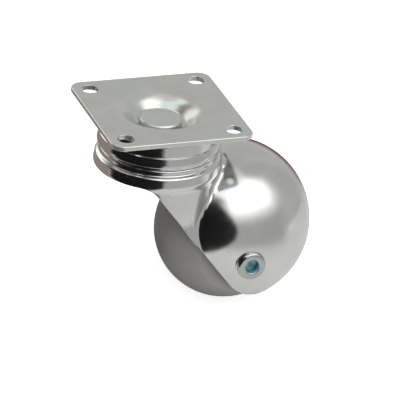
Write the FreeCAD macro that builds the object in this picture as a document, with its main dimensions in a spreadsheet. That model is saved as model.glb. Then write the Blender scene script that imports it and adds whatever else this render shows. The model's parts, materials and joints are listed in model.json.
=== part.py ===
import FreeCAD, Part
import math
import os
import Sketcher
from FreeCAD import Placement, Rotation, Vector

# Hooded ball castor for furniture: a square plate, a double row swivel bearing, a pressed hood
# and a grey ball wheel on a riveted axle.
# Frame: origin at the centre of the plate's top face, +Z up, +X along the trail, Y along the axle.

doc = FreeCAD.newDocument("ball_castor")

# Driving sizes in millimetres and degrees: name, value, meaning
SIZES = [
    ("plate_side", 42.0, "side of the square plate"),
    ("plate_thick", 1.5, "sheet thickness of the plate"),
    ("plate_corner", 3.6, "corner radius of the plate"),
    ("plate_edge_round", 0.35, "rounding of the plate's sheared edge"),
    ("hole_pitch", 32.0, "distance between screw holes"),
    ("hole_diameter", 4.8, "screw hole"),
    ("dish_top_radius", 11.6, "sharp corner of the dish at the top face"),
    ("dish_floor_radius", 7.2, "sharp corner of the dish at its floor"),
    ("dish_depth", 4.2, "depth of the dish floor under the top face"),
    ("dish_top_bend", 4.0, "bend radius at the dish mouth"),
    ("dish_floor_bend", 2.5, "bend radius at the dish floor"),
    ("kingpin_diameter", 8.0, "kingpin shank"),
    ("kingpin_head_diameter", 11.6, "kingpin head in the dish"),
    ("kingpin_head_height", 1.6, "kingpin head thickness"),
    ("kingpin_neck_diameter", 6.4, "stepped end of the shank in the lower race"),
    ("kingpin_tail_diameter", 9.6, "peened tail of the kingpin"),
    ("kingpin_tail_height", 2.0, "peened tail thickness"),
    ("kingpin_tail_round", 1.2, "rounding of the peened tail"),
    ("cup_radius", 17.7, "outer radius of the upper race cup"),
    ("cup_height", 5.4, "height of the upper race cup"),
    ("cup_ring_inset", 0.9, "how far the cup's raised ring stands in from its side"),
    ("cup_ring_height", 1.4, "height of the cup's raised ring"),
    ("cup_ring_round", 0.6, "rounding of the raised ring's upper edge"),
    ("cup_ledge_height", 1.0, "height of the slope from the raised ring to the side"),
    ("cup_wall", 1.0, "sheet thickness of the cup"),
    ("cup_lip_inset", 0.7, "how far the cup's lip stands in from its side"),
    ("cup_lip_height", 0.8, "height of the lip"),
    ("cup_step_height", 0.3, "height of the step from the side to the lip"),
    ("upper_ball_diameter", 4.5, "bearing ball of the upper row"),
    ("lower_ball_diameter", 3.5, "bearing ball of the lower row"),
    ("lower_pitch_radius", 8.8, "pitch circle radius of the lower row"),
    ("ball_play", 0.05, "clearance of a bearing ball at each race"),
    ("hood_wall", 1.2, "sheet thickness of the hood"),
    ("deck_hole_diameter", 9.4, "hole of the hood's deck round the kingpin"),
    ("deck_edge_radius", 16.9, "radius of the raised ring at the deck"),
    ("ledge_drop", 1.5, "foot of the raised ring below the deck"),
    ("shoulder_radius", 18.0, "drum radius at the shoulder"),
    ("shoulder_drop", 2.2, "shoulder below the deck"),
    ("deck_edge_round", 0.5, "rounding of the deck's edge"),
    ("ledge_round", 0.5, "hollow bend at the foot of the raised ring"),
    ("shoulder_round", 1.0, "rounding at the shoulder"),
    ("bead_round", 2.0, "rounding of the bead"),
    ("neck_round", 3.0, "hollow bend from the bead to the neck"),
    ("bead_radius", 18.35, "largest radius of the drum's bead"),
    ("bead_drop", 4.9, "bead below the deck"),
    ("neck_radius", 17.9, "outer radius of the neck"),
    ("neck_drop", 6.6, "start of the plain neck below the deck"),
    ("flare_drop", 18.2, "start of the neck's flare below the deck"),
    ("flare_gain", 3.5, "how far the neck flares out at the axle's level"),
    ("flare_bend", 8.0, "bend from the neck to its flare"),
    ("drum_edge_drop", 6.0, "free front edge of the drum below the deck"),
    ("dome_gap", 2.4, "room between the ball's radius and the dome's inside"),
    ("dome_back", 1.2, "dome centre behind the axle"),
    ("dome_rise", 3.0, "dome centre above the axle"),
    ("crown_drop", 2.1, "dome's crown below the deck"),
    ("crease_round", 1.5, "fillet where the neck meets the dome"),
    ("rim_angle", 51.5, "slope of the hood's open rim"),
    ("rim_offset", 8.4, "rim plane in front of the axle"),
    ("rim_front_bend", 7.0, "bend of the rim into the drum's edge"),
    ("rim_foot_bend", 17.7, "bend of the rim into its foot"),
    ("hood_floor_gap", 5.4, "hood's foot above the floor"),
    ("axle_boss_radius", 5.2, "coined seat round the axle hole"),
    ("axle_boss_thick", 2.8, "thickness of the coined seat"),
    ("axle_seat_inset", 0.3, "coined seat inside the dome's radius"),
    ("trail", 22.0, "axle behind the swivel axis"),
    ("axle_diameter", 6.0, "axle rivet shank"),
    ("axle_ring_diameter", 8.5, "rolled end of the axle rivet"),
    ("axle_ring_height", 1.5, "height of the rolled end"),
    ("axle_bore_diameter", 4.0, "blind hole in the rolled end"),
    ("axle_bore_depth", 7.0, "depth of the blind hole"),
    ("axle_bore_cone", 1.0, "drill point at the end of the blind hole"),
    ("axle_head_diameter", 9.6, "formed head of the axle rivet"),
    ("axle_head_height", 1.4, "height of the formed head"),
    ("axle_head_round", 1.2, "rounding of the formed head"),
    ("sleeve_wall", 1.0, "wall of the axle sleeve"),
    ("washer_thick", 0.8, "thrust washer"),
    ("washer_inset", 0.2, "thrust washer inside the seat's radius"),
    ("wheel_radius", 20.0, "radius of the ball wheel"),
    ("wheel_half_width", 15.6, "flat side of the wheel from the middle plane"),
    ("wheel_edge_round", 0.6, "rounding of the flat side's edge"),
    ("hub_diameter", 13.0, "hub of the wheel"),
    ("shaft_play", 0.06, "radial clearance of a pin in its hole"),
    ("running_gap", 0.15, "side clearance of parts that turn"),
    ("edge_break", 0.4, "broken edge of the rivets"),
    ("ring_round", 0.6, "rounding of the rolled ring"),
    ("race_bend", 1.8, "outer bend of the lower race"),
]

UPPER_BALLS = 18
LOWER_BALLS = 13

sheet = doc.addObject("Spreadsheet::Sheet", "Sizes")
for row, (alias, value, meaning) in enumerate(SIZES, start=1):
    sheet.set(f"A{row}", meaning)
    sheet.set(f"B{row}", str(value))
    sheet.setAlias(f"B{row}", alias)
doc.recompute()


def size(alias):
    """Expression for one cell of the sheet."""
    return f"Sizes.{alias}"


def half(alias):
    """Expression for half of one cell, such as a radius."""
    return f"Sizes.{alias} / 2"


def number(expression):
    """Present value of an expression."""
    return float(sheet.evalExpression(str(expression)))


# Levels below the plate's top face, worked out from the sheet
DISH_FLOOR = "(-Sizes.dish_depth)"
HEAD_TOP = f"({DISH_FLOOR} + Sizes.kingpin_head_height)"
CUP_TOP = "(-Sizes.dish_depth - Sizes.plate_thick)"
CUP_UNDER = f"({CUP_TOP} - Sizes.cup_wall)"
CUP_LIP = f"({CUP_TOP} - Sizes.cup_height)"
UPPER_ROW = f"({CUP_UNDER} - Sizes.upper_ball_diameter / 2 - Sizes.ball_play)"
DECK = f"({UPPER_ROW} - Sizes.upper_ball_diameter / 2 - Sizes.ball_play)"
DECK_UNDER = f"({DECK} - Sizes.hood_wall)"
LOWER_ROW = f"({DECK_UNDER} - Sizes.lower_ball_diameter / 2 - Sizes.ball_play)"
RACE_FLOOR = f"({LOWER_ROW} - Sizes.lower_ball_diameter / 2 - Sizes.ball_play)"
RACE_UNDER = f"({RACE_FLOOR} - Sizes.cup_wall)"
TAIL_END = f"({RACE_UNDER} - Sizes.kingpin_tail_height)"
DOME_RADIUS = "(Sizes.wheel_radius + Sizes.dome_gap + Sizes.hood_wall)"
DOME_Z = f"({DECK} - Sizes.crown_drop - {DOME_RADIUS})"
AXLE_LEVEL = f"({DOME_Z} - Sizes.dome_rise)"
FLOOR = f"({AXLE_LEVEL} - Sizes.wheel_radius)"

# Radii and widths that follow from the seats
UPPER_PITCH = (
    "(Sizes.cup_radius - Sizes.cup_lip_inset - Sizes.cup_wall"
    " - Sizes.upper_ball_diameter / 2 - Sizes.ball_play)"
)
RACE_WALL_INSIDE = "(Sizes.lower_pitch_radius + Sizes.lower_ball_diameter / 2 + Sizes.ball_play)"
SHEET_BEND_SHIFT = (
    "(Sizes.plate_thick * tan(atan(Sizes.dish_depth"
    " / (Sizes.dish_top_radius - Sizes.dish_floor_radius)) / 2))"
)
AXLE_SEAT = f"({DOME_RADIUS} - Sizes.axle_seat_inset)"
BOSS_FACE = f"({AXLE_SEAT} - Sizes.axle_boss_thick)"
SLEEVE_RADIUS = "(Sizes.axle_diameter / 2 + Sizes.shaft_play + Sizes.sleeve_wall)"
WASHER_FACE = f"({BOSS_FACE} - Sizes.washer_thick)"
HUB_FACE = f"({WASHER_FACE} - Sizes.running_gap)"
DOME_X = "(Sizes.trail + Sizes.dome_back)"


def make_body(label):
    """An empty body with its own label."""
    body = doc.addObject("PartDesign::Body", label)
    body.Label = label
    return body


def origin_plane(body, role):
    """One of the body's own origin planes."""
    return next(item for item in body.Origin.OriginFeatures if item.Role == role)


def make_sketch(body, name, role):
    """An empty sketch on one of the body's origin planes."""
    sketch = body.newObject("Sketcher::SketchObject", name)
    sketch.AttachmentSupport = [(origin_plane(body, role), "")]
    sketch.MapMode = "FlatFace"
    return sketch


def pin_point(sketch, geometry, place, axis, expression):
    """Ties one coordinate of a sketch point to an expression."""
    reading = number(expression)
    if abs(reading) < 1e-9:
        line = -2 if axis == "X" else -1
        sketch.addConstraint(Sketcher.Constraint("PointOnObject", geometry, place, line))
        return
    index = sketch.addConstraint(Sketcher.Constraint(f"Distance{axis}", -1, 1, geometry, place, reading))
    sketch.setExpression(f"Constraints[{index}]", str(expression))


def bend_points(before, corner, after, radius):
    """Where an arc of this radius leaves both sides of a corner, and the arc's middle point."""
    to_before = (before - corner).normalize()
    to_after = (after - corner).normalize()
    half_turn = to_before.getAngle(to_after) / 2
    reach = radius / math.tan(half_turn)
    middle = (to_before + to_after).normalize() * (radius / math.sin(half_turn) - radius)
    return corner + to_before * reach, corner + middle, corner + to_after * reach


def draw_profile(sketch, corners):
    """Closes a loop of straight lines through the corners; a third entry rounds a corner.

    A rounded corner keeps its sharp corner as a point on both lines, which carries the sizes.
    """
    points = [Vector(number(corner[0]), number(corner[1]), 0) for corner in corners]
    count = len(corners)
    starts, ends, arcs = [], [], []
    for index, corner in enumerate(corners):
        point = points[index]
        if len(corner) == 2:
            starts.append(point)
            ends.append(point)
            arcs.append(None)
            continue
        before, after = points[index - 1], points[(index + 1) % count]
        first, middle, last = bend_points(before, point, after, number(corner[2]))
        ends.append(first)
        starts.append(last)
        arcs.append(Part.Arc(first, middle, last))
    lines = []
    for index in range(count):
        following = (index + 1) % count
        lines.append(sketch.addGeometry(Part.LineSegment(starts[index], ends[following])))
    for index, corner in enumerate(corners):
        line_in, line_out = lines[index - 1], lines[index]
        if arcs[index] is None:
            sketch.addConstraint(Sketcher.Constraint("Coincident", line_in, 2, line_out, 1))
            pin_point(sketch, line_out, 1, "X", corner[0])
            pin_point(sketch, line_out, 1, "Y", corner[1])
            continue
        arc = sketch.addGeometry(arcs[index])
        arc_starts_first = sketch.getPoint(arc, 1).isEqual(ends[index], 1e-6)
        near, far = (1, 2) if arc_starts_first else (2, 1)
        sketch.addConstraint(Sketcher.Constraint("Tangent", line_in, 2, arc, near))
        sketch.addConstraint(Sketcher.Constraint("Tangent", arc, far, line_out, 1))
        radius = sketch.addConstraint(Sketcher.Constraint("Radius", arc, number(corner[2])))
        sketch.setExpression(f"Constraints[{radius}]", str(corner[2]))
        sharp = sketch.addGeometry(Part.Point(points[index]), True)
        sketch.addConstraint(Sketcher.Constraint("PointOnObject", sharp, 1, line_in))
        sketch.addConstraint(Sketcher.Constraint("PointOnObject", sharp, 1, line_out))
        pin_point(sketch, sharp, 1, "X", corner[0])
        pin_point(sketch, sharp, 1, "Y", corner[1])


def revolve(body, name, corners, cut=False):
    """Turns a profile of (radius, level) corners about the body's Z axis, to add or to cut."""
    sketch = make_sketch(body, f"{name}_profile", "XZ_Plane")
    draw_profile(sketch, corners)
    kind = "PartDesign::Groove" if cut else "PartDesign::Revolution"
    feature = body.newObject(kind, name)
    feature.Profile = sketch
    feature.ReferenceAxis = (sketch, ["V_Axis"])
    feature.Angle = 360
    doc.recompute()
    return feature


def circle_pocket(body, name, role, circles):
    """Cuts round holes right through the body; each circle is (x, y, radius) expressions."""
    sketch = make_sketch(body, f"{name}_profile", role)
    for x, y, radius in circles:
        centre = Vector(number(x), number(y), 0)
        circle = sketch.addGeometry(Part.Circle(centre, Vector(0, 0, 1), number(radius)))
        pin_point(sketch, circle, 3, "X", x)
        pin_point(sketch, circle, 3, "Y", y)
        index = sketch.addConstraint(Sketcher.Constraint("Radius", circle, number(radius)))
        sketch.setExpression(f"Constraints[{index}]", str(radius))
    return through_pocket(body, name, sketch)


def through_pocket(body, name, sketch):
    """Cuts a sketch through the body on both sides of its plane."""
    pocket = body.newObject("PartDesign::Pocket", name)
    pocket.Profile = sketch
    pocket.Type = "ThroughAll"
    pocket.Midplane = True
    doc.recompute()
    return pocket


def primitive(body, kind, name, sizes, place, turn=None):
    """A sphere or cylinder feature at a place given by three expressions."""
    feature = body.newObject(f"PartDesign::{kind}", name)
    if turn is not None:
        feature.Placement = Placement(Vector(), turn)
    for key, expression in sizes.items():
        feature.setExpression(key, expression)
    for axis, expression in zip("xyz", place):
        feature.setExpression(f"Placement.Base.{axis}", expression)
    doc.recompute()
    return feature


def round_edges(body, name, base, edges, radius):
    """Fillets the named edges of a feature."""
    fillet = body.newObject("PartDesign::Fillet", name)
    fillet.Base = (base, edges)
    fillet.setExpression("Radius", size(radius))
    doc.recompute()
    return fillet


def edges_where(shape, test):
    """Names of the edges that pass a test."""
    return [f"Edge{index}" for index, edge in enumerate(shape.Edges, start=1) if test(edge)]


def lay_on_axle(body):
    """Turns a body from Z to the axle's line and puts it on the axle."""
    body.Placement = Placement(Vector(), Rotation(Vector(1, 0, 0), 90))
    body.setExpression("Placement.Base.x", size("trail"))
    body.setExpression("Placement.Base.z", AXLE_LEVEL)


def mounting_plate():
    """Pressed square plate with a dished middle and four screw holes."""
    body = make_body("mounting_plate")
    sketch = make_sketch(body, "outline", "XY_Plane")
    reach = half("plate_side")
    corner = size("plate_corner")
    draw_profile(sketch, [
        (reach, reach, corner),
        (f"-{reach}", reach, corner),
        (f"-{reach}", f"-{reach}", corner),
        (reach, f"-{reach}", corner),
    ])
    pad = body.newObject("PartDesign::Pad", "sheet_blank")
    pad.Profile = sketch
    pad.Reversed = True
    pad.setExpression("Length", size("plate_thick"))
    doc.recompute()
    thick = number(size("plate_thick"))
    outline = edges_where(pad.Shape, lambda edge: edge.BoundBox.ZLength < thick / 2)
    round_edges(body, "sheared_edge", pad, outline, "plate_edge_round")
    under = "-Sizes.plate_thick"
    dish_under = f"{DISH_FLOOR} - Sizes.plate_thick"
    dish_reach = "Sizes.dish_top_radius + Sizes.dish_top_bend"
    revolve(body, "dish_back", [
        ("0", "-Sizes.plate_thick / 2"),
        (dish_reach, "-Sizes.plate_thick / 2"),
        (dish_reach, under),
        (f"Sizes.dish_top_radius + {SHEET_BEND_SHIFT}", under, "Sizes.dish_top_bend - Sizes.plate_thick"),
        (f"Sizes.dish_floor_radius + {SHEET_BEND_SHIFT}", dish_under,
         "Sizes.dish_floor_bend + Sizes.plate_thick"),
        ("0", dish_under),
    ])
    revolve(body, "dish_hollow", [
        ("0", size("plate_thick")),
        (dish_reach, size("plate_thick")),
        (dish_reach, "0"),
        (size("dish_top_radius"), "0", size("dish_top_bend")),
        (size("dish_floor_radius"), DISH_FLOOR, size("dish_floor_bend")),
        ("0", DISH_FLOOR),
    ], cut=True)
    pitch = half("hole_pitch")
    hole = half("hole_diameter")
    circle_pocket(body, "screw_holes", "XY_Plane", [
        (x, y, hole) for x in (pitch, f"-{pitch}") for y in (pitch, f"-{pitch}")
    ])
    kingpin_hole = f"{half('kingpin_diameter')} + Sizes.shaft_play"
    circle_pocket(body, "kingpin_hole", "XY_Plane", [("0", "0", kingpin_hole)])
    return body


def kingpin_rivet():
    """Swivel rivet: flat head in the dish, stepped shank, peened tail under the lower race."""
    body = make_body("kingpin_rivet")
    head = half("kingpin_head_diameter")
    neck = half("kingpin_neck_diameter")
    tail = half("kingpin_tail_diameter")
    revolve(body, "turned_shape", [
        ("0", HEAD_TOP),
        (f"{head} - Sizes.edge_break", HEAD_TOP),
        (head, f"{HEAD_TOP} - Sizes.edge_break"),
        (head, DISH_FLOOR),
        (half("kingpin_diameter"), DISH_FLOOR),
        (half("kingpin_diameter"), RACE_FLOOR),
        (neck, RACE_FLOOR),
        (neck, RACE_UNDER),
        (tail, RACE_UNDER),
        (tail, TAIL_END, size("kingpin_tail_round")),
        ("0", TAIL_END),
    ])
    return body


def upper_race_cup():
    """Pressed cup under the dish, which closes the upper ball row from above and outside.

    Its side steps out below a raised ring and in again above the lip; inside, the steps lie half a wall
    lower and higher.
    """
    body = make_body("upper_race_cup")
    hole = f"{half('kingpin_diameter')} + Sizes.shaft_play"
    lip_top = f"{CUP_LIP} + Sizes.cup_lip_height"
    lip = "Sizes.cup_radius - Sizes.cup_lip_inset"
    side_foot = f"{lip_top} + Sizes.cup_step_height"
    ring = "Sizes.cup_radius - Sizes.cup_ring_inset"
    ring_foot = f"{CUP_TOP} - Sizes.cup_ring_height"
    ledge_foot = f"{ring_foot} - Sizes.cup_ledge_height"
    revolve(body, "pressed_shape", [
        (hole, CUP_TOP),
        (ring, CUP_TOP, size("cup_ring_round")),
        (ring, ring_foot),
        (size("cup_radius"), ledge_foot),
        (size("cup_radius"), side_foot),
        (lip, lip_top),
        (lip, CUP_LIP),
        (f"{lip} - Sizes.cup_wall", CUP_LIP),
        (f"{lip} - Sizes.cup_wall", f"{lip_top} + Sizes.cup_wall / 2"),
        ("Sizes.cup_radius - Sizes.cup_wall", f"{side_foot} + Sizes.cup_wall / 2"),
        ("Sizes.cup_radius - Sizes.cup_wall", f"{ledge_foot} - Sizes.cup_wall / 2"),
        (f"{ring} - Sizes.cup_wall", f"{ring_foot} - Sizes.cup_wall / 2"),
        (f"{ring} - Sizes.cup_wall", CUP_UNDER),
        (hole, CUP_UNDER),
    ])
    return body


def lower_race():
    """Dished washer under the deck, which carries the lower ball row on the kingpin's step."""
    body = make_body("lower_race")
    hole = f"{half('kingpin_neck_diameter')} + Sizes.shaft_play"
    outside = f"{RACE_WALL_INSIDE} + Sizes.cup_wall"
    revolve(body, "pressed_shape", [
        (hole, RACE_FLOOR),
        (RACE_WALL_INSIDE, RACE_FLOOR, "Sizes.race_bend - Sizes.cup_wall"),
        (RACE_WALL_INSIDE, LOWER_ROW),
        (outside, LOWER_ROW),
        (outside, RACE_UNDER, size("race_bend")),
        (hole, RACE_UNDER),
    ])
    return body


def drum_profile(inset):
    """Corners of the drum and neck, moved in by a wall's thickness; the ledge moves half of it down.

    They are drawn on the front side, so that the seam of the turned faces stays clear of the dome.
    """
    ledge = f"{DECK} - Sizes.ledge_drop - {inset} / 2"
    shoulder = f"{DECK} - Sizes.shoulder_drop - {inset} / 2"
    return [
        ("0", f"{DECK} - {inset}"),
        (f"{inset} - Sizes.deck_edge_radius", f"{DECK} - {inset}", size("deck_edge_round")),
        (f"{inset} - Sizes.deck_edge_radius", ledge, size("ledge_round")),
        (f"{inset} - Sizes.shoulder_radius", shoulder, size("shoulder_round")),
        (f"{inset} - Sizes.bead_radius", f"{DECK} - Sizes.bead_drop", size("bead_round")),
        (f"{inset} - Sizes.neck_radius", f"{DECK} - Sizes.neck_drop", size("neck_round")),
        (f"{inset} - Sizes.neck_radius", f"{DECK} - Sizes.flare_drop", size("flare_bend")),
        (f"{inset} - Sizes.neck_radius - Sizes.flare_gain", AXLE_LEVEL),
        ("0", AXLE_LEVEL),
    ]


def crease_edges(shape):
    """Names of the edges where the dome runs into the drum and the neck."""
    middle = Vector(number(DOME_X), 0, number(DOME_Z))
    radius = number(DOME_RADIUS)

    def meets_dome(edge):
        if edge.Degenerated or isinstance(edge.Curve, Part.Circle):
            return False
        return all(abs(point.distanceToPoint(middle) - radius) < 1e-3 for point in edge.discretize(5))

    return edges_where(shape, meets_dome)


def rim_x(level):
    """Where the sloping rim crosses a level, measured along the trail."""
    return (
        f"(Sizes.trail - (Sizes.rim_offset + ({level} - {AXLE_LEVEL}) * cos(Sizes.rim_angle * 1deg))"
        " / sin(Sizes.rim_angle * 1deg))"
    )


def axle_seats(body):
    """Coined flat seats round both axle holes, square to the axle."""
    along_axle = Rotation(Vector(1, 0, 0), 90)
    seat = {"Radius": size("axle_boss_radius"), "Height": size("axle_boss_thick")}
    room = {"Radius": size("axle_boss_radius"), "Height": DOME_RADIUS}
    depth = AXLE_LEVEL
    for side, inner_face, room_face in (
        ("near", f"-{BOSS_FACE}", f"-{AXLE_SEAT}"),
        ("far", AXLE_SEAT, f"{AXLE_SEAT} + {DOME_RADIUS}"),
    ):
        seat_place = (size("trail"), inner_face, depth)
        room_place = (size("trail"), room_face, depth)
        primitive(body, "AdditiveCylinder", f"seat_{side}", seat, seat_place, along_axle)
        primitive(body, "SubtractiveCylinder", f"room_{side}", room, room_place, along_axle)


def hood():
    """Pressed hood in one piece: beaded drum, neck and dome, with a sloping open rim."""
    body = make_body("hood")
    dome_place = (DOME_X, "0", DOME_Z)
    revolve(body, "drum", drum_profile("0"))
    dome = primitive(body, "AdditiveSphere", "dome", {"Radius": DOME_RADIUS}, dome_place)
    round_edges(body, "crease", dome, crease_edges(dome.Shape), "crease_round")
    revolve(body, "drum_hollow", drum_profile("Sizes.hood_wall"), cut=True)
    hollow = {"Radius": f"{DOME_RADIUS} - Sizes.hood_wall"}
    primitive(body, "SubtractiveSphere", "dome_hollow", hollow, dome_place)
    axle_seats(body)
    front_edge = f"({DECK} - Sizes.drum_edge_drop)"
    foot = f"({FLOOR} + Sizes.hood_floor_gap)"
    front, back, below = "-2 * Sizes.bead_radius", f"{DOME_X} + 2 * {DOME_RADIUS}", f"2 * {FLOOR}"
    opening = make_sketch(body, "rim_outline", "XZ_Plane")
    draw_profile(opening, [
        (front, front_edge),
        (rim_x(front_edge), front_edge, size("rim_front_bend")),
        (rim_x(foot), foot, size("rim_foot_bend")),
        (back, foot),
        (back, below),
        (front, below),
    ])
    through_pocket(body, "opening", opening)
    circle_pocket(body, "axle_hole", "XZ_Plane", [
        (size("trail"), AXLE_LEVEL, f"{half('axle_diameter')} + Sizes.shaft_play"),
    ])
    circle_pocket(body, "deck_hole", "XY_Plane", [("0", "0", half("deck_hole_diameter"))])
    return body


def axle_rivet():
    """Semi-tubular axle: rolled ring with a blind hole at the near end, formed head at the far end."""
    body = make_body("axle_rivet")
    shank = half("axle_diameter")
    ring = half("axle_ring_diameter")
    bore = half("axle_bore_diameter")
    head = half("axle_head_diameter")
    seat = AXLE_SEAT
    ring_top = f"({AXLE_SEAT} + Sizes.axle_ring_height)"
    head_top = f"(-{AXLE_SEAT} - Sizes.axle_head_height)"
    revolve(body, "turned_shape", [
        ("0", f"{ring_top} - Sizes.axle_bore_depth - Sizes.axle_bore_cone"),
        (bore, f"{ring_top} - Sizes.axle_bore_depth"),
        (bore, f"{ring_top} - Sizes.edge_break"),
        (f"{bore} + Sizes.edge_break", ring_top),
        (ring, ring_top, size("ring_round")),
        (ring, seat),
        (shank, seat),
        (shank, f"-{seat}"),
        (head, f"-{seat}"),
        (head, head_top, size("axle_head_round")),
        ("0", head_top),
    ])
    lay_on_axle(body)
    return body


def axle_sleeve():
    """Steel tube between the axle seats, on which the wheel turns."""
    body = make_body("axle_sleeve")
    inside = f"{half('axle_diameter')} + Sizes.shaft_play"
    revolve(body, "tube", [
        (inside, f"-{BOSS_FACE}"),
        (SLEEVE_RADIUS, f"-{BOSS_FACE}"),
        (SLEEVE_RADIUS, BOSS_FACE),
        (inside, BOSS_FACE),
    ])
    lay_on_axle(body)
    return body


def thrust_washer(side, sign):
    """Washer between the wheel's hub and one axle seat."""
    body = make_body(f"thrust_washer_{side}")
    inside = f"{SLEEVE_RADIUS} + Sizes.shaft_play"
    outside = "Sizes.axle_boss_radius - Sizes.washer_inset"
    revolve(body, "disc", [
        (inside, f"{sign}{WASHER_FACE}"),
        (outside, f"{sign}{WASHER_FACE}"),
        (outside, f"{sign}{BOSS_FACE}"),
        (inside, f"{sign}{BOSS_FACE}"),
    ])
    lay_on_axle(body)
    return body


def ball_wheel():
    """Moulded ball wheel: a sphere with flat sides and a hub, bored for the sleeve."""
    body = make_body("ball_wheel")
    middle = ("0", "0", "0")
    tread_sizes = {
        "Radius": size("wheel_radius"),
        "Angle1": "-asin(Sizes.wheel_half_width / Sizes.wheel_radius)",
        "Angle2": "asin(Sizes.wheel_half_width / Sizes.wheel_radius)",
    }
    tread = primitive(body, "AdditiveSphere", "tread", tread_sizes, middle)
    rims = edges_where(tread.Shape, lambda edge: edge.BoundBox.ZLength < 1e-3)
    round_edges(body, "tread_edge", tread, rims, "wheel_edge_round")
    start = ("0", "0", f"-{HUB_FACE}")
    hub = {"Radius": half("hub_diameter"), "Height": f"2 * {HUB_FACE}"}
    primitive(body, "AdditiveCylinder", "hub", hub, start)
    bore = {"Radius": f"{SLEEVE_RADIUS} + Sizes.shaft_play", "Height": f"2 * {HUB_FACE}"}
    primitive(body, "SubtractiveCylinder", "bore", bore, start)
    lay_on_axle(body)
    return body


def ball_row(name, count, diameter, pitch, level):
    """Evenly spaced bearing balls of one row."""
    balls = []
    for index in range(count):
        ball = doc.addObject("Part::Sphere", f"{name}_{index + 1:02d}")
        ball.Label = f"{name}_{index + 1:02d}"
        ball.setExpression("Radius", half(diameter))
        angle = f"{index} * 360deg / {count}"
        ball.setExpression("Placement.Base.x", f"{pitch} * cos({angle})")
        ball.setExpression("Placement.Base.y", f"{pitch} * sin({angle})")
        ball.setExpression("Placement.Base.z", level)
        balls.append(ball)
    return balls


def write_parts(pieces):
    """Checks every object and every piece, then writes one file for each piece."""
    doc.recompute()
    for item in doc.Objects:
        if "Invalid" in item.State or "Error" in item.State:
            raise RuntimeError(f"{item.Name} failed: {item.State}")
    for piece in pieces:
        if piece.Shape.isNull() or not piece.Shape.isValid():
            raise RuntimeError(f"{piece.Label} has no valid shape")
        if len(piece.Shape.Solids) != 1:
            raise RuntimeError(f"{piece.Label} has {len(piece.Shape.Solids)} solids")
    os.makedirs("parts", exist_ok=True)
    for piece in pieces:
        piece.Shape.exportStep(f"parts/{piece.Label}.step")
        print(f"{piece.Label}: {piece.Shape.Volume:.1f} mm3")


write_parts([
    mounting_plate(),
    kingpin_rivet(),
    upper_race_cup(),
    lower_race(),
    hood(),
    axle_rivet(),
    axle_sleeve(),
    thrust_washer("near", ""),
    thrust_washer("far", "-"),
    ball_wheel(),
    *ball_row("upper_ball", UPPER_BALLS, "upper_ball_diameter", UPPER_PITCH, UPPER_ROW),
    *ball_row("lower_ball", LOWER_BALLS, "lower_ball_diameter", size("lower_pitch_radius"), LOWER_ROW),
])
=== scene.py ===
import json
import logging
import math
from collections.abc import Sequence
from dataclasses import dataclass, field
from enum import Enum

import bmesh
import bpy
import numpy as np
from mathutils import Matrix, Vector
from mathutils.geometry import delaunay_2d_cdt


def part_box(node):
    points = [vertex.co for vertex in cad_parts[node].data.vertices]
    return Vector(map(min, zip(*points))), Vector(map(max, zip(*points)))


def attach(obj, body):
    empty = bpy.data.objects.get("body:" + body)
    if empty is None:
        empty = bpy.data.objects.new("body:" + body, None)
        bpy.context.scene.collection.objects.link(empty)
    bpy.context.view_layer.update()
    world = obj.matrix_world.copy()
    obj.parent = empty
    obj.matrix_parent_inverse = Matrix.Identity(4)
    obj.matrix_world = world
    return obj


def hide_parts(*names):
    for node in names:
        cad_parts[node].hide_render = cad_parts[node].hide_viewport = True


# Looks of a hooded ball castor. Lengths are millimetres, and metres in the finishes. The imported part's frame
# has its origin at the centre of the plate's top face, +Z up, +X along the trail and Y along the axle.

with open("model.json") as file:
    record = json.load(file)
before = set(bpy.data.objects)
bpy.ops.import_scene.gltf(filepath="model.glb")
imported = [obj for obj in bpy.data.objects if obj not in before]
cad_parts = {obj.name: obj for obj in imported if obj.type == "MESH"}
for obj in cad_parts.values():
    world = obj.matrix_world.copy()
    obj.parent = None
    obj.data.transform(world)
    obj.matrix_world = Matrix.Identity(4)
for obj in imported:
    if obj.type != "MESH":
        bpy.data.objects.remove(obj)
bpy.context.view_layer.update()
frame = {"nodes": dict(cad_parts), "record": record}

METRES = 0.001
FULL_TURN = 2 * math.pi
IMAGE_SIDE = 400
SENSOR_WIDTH = 36.0
FLOOR_LEVEL = -60.0
TRAIL = 22.0
AXLE_LEVEL = -40.0
AXLE_SEAT = 23.3
MIDDLE = (0.0, 0.0, 0.0)
MIRROR = np.array([1.0, -1.0, 1.0])
FILL_PRECISION = 1e-6
LOG = logging.getLogger("ball_castor")

Colour = tuple[float, float, float]
Point = tuple[float, float, float]
Sheet = tuple[np.ndarray, np.ndarray]


class Axis(Enum):
    """The line that a turned piece goes round."""

    SWIVEL = "swivel"
    AXLE = "axle"


class CardShape(Enum):
    """Outlines of the studio's cards."""

    PANEL = "panel"
    LENS = "lens"


class Body(Enum):
    """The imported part's moving bodies."""

    PLATE = "plate"
    HOOD = "hood"
    WHEEL = "wheel"
    UPPER_ROW = "upper_ball_row"
    LOWER_ROW = "lower_ball_row"


@dataclass
class Patch:
    """A grid of points that becomes a sheet of quads.

    Args:
        points: Rows by columns by three coordinates in millimetres.
        ring: Whether the last column joins the first one.
        flip: Whether the faces look the other way.
    """

    points: np.ndarray
    ring: bool = False
    flip: bool = False

    def quads(self, start: int) -> np.ndarray:
        """Corner numbers of the quads.

        Args:
            start: Number of the grid's first point.

        Returns:
            One row of four corner numbers for each quad.
        """
        rows, columns = self.points.shape[:2]
        numbers = start + np.arange(rows * columns).reshape(rows, columns)
        if self.ring:
            numbers = np.concatenate([numbers, numbers[:, :1]], axis=1)
        corners = [numbers[:-1, :-1], numbers[:-1, 1:], numbers[1:, 1:], numbers[1:, :-1]]
        quads = np.stack(corners, axis=-1).reshape(-1, 4)
        return quads[:, ::-1] if self.flip else quads


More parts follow.
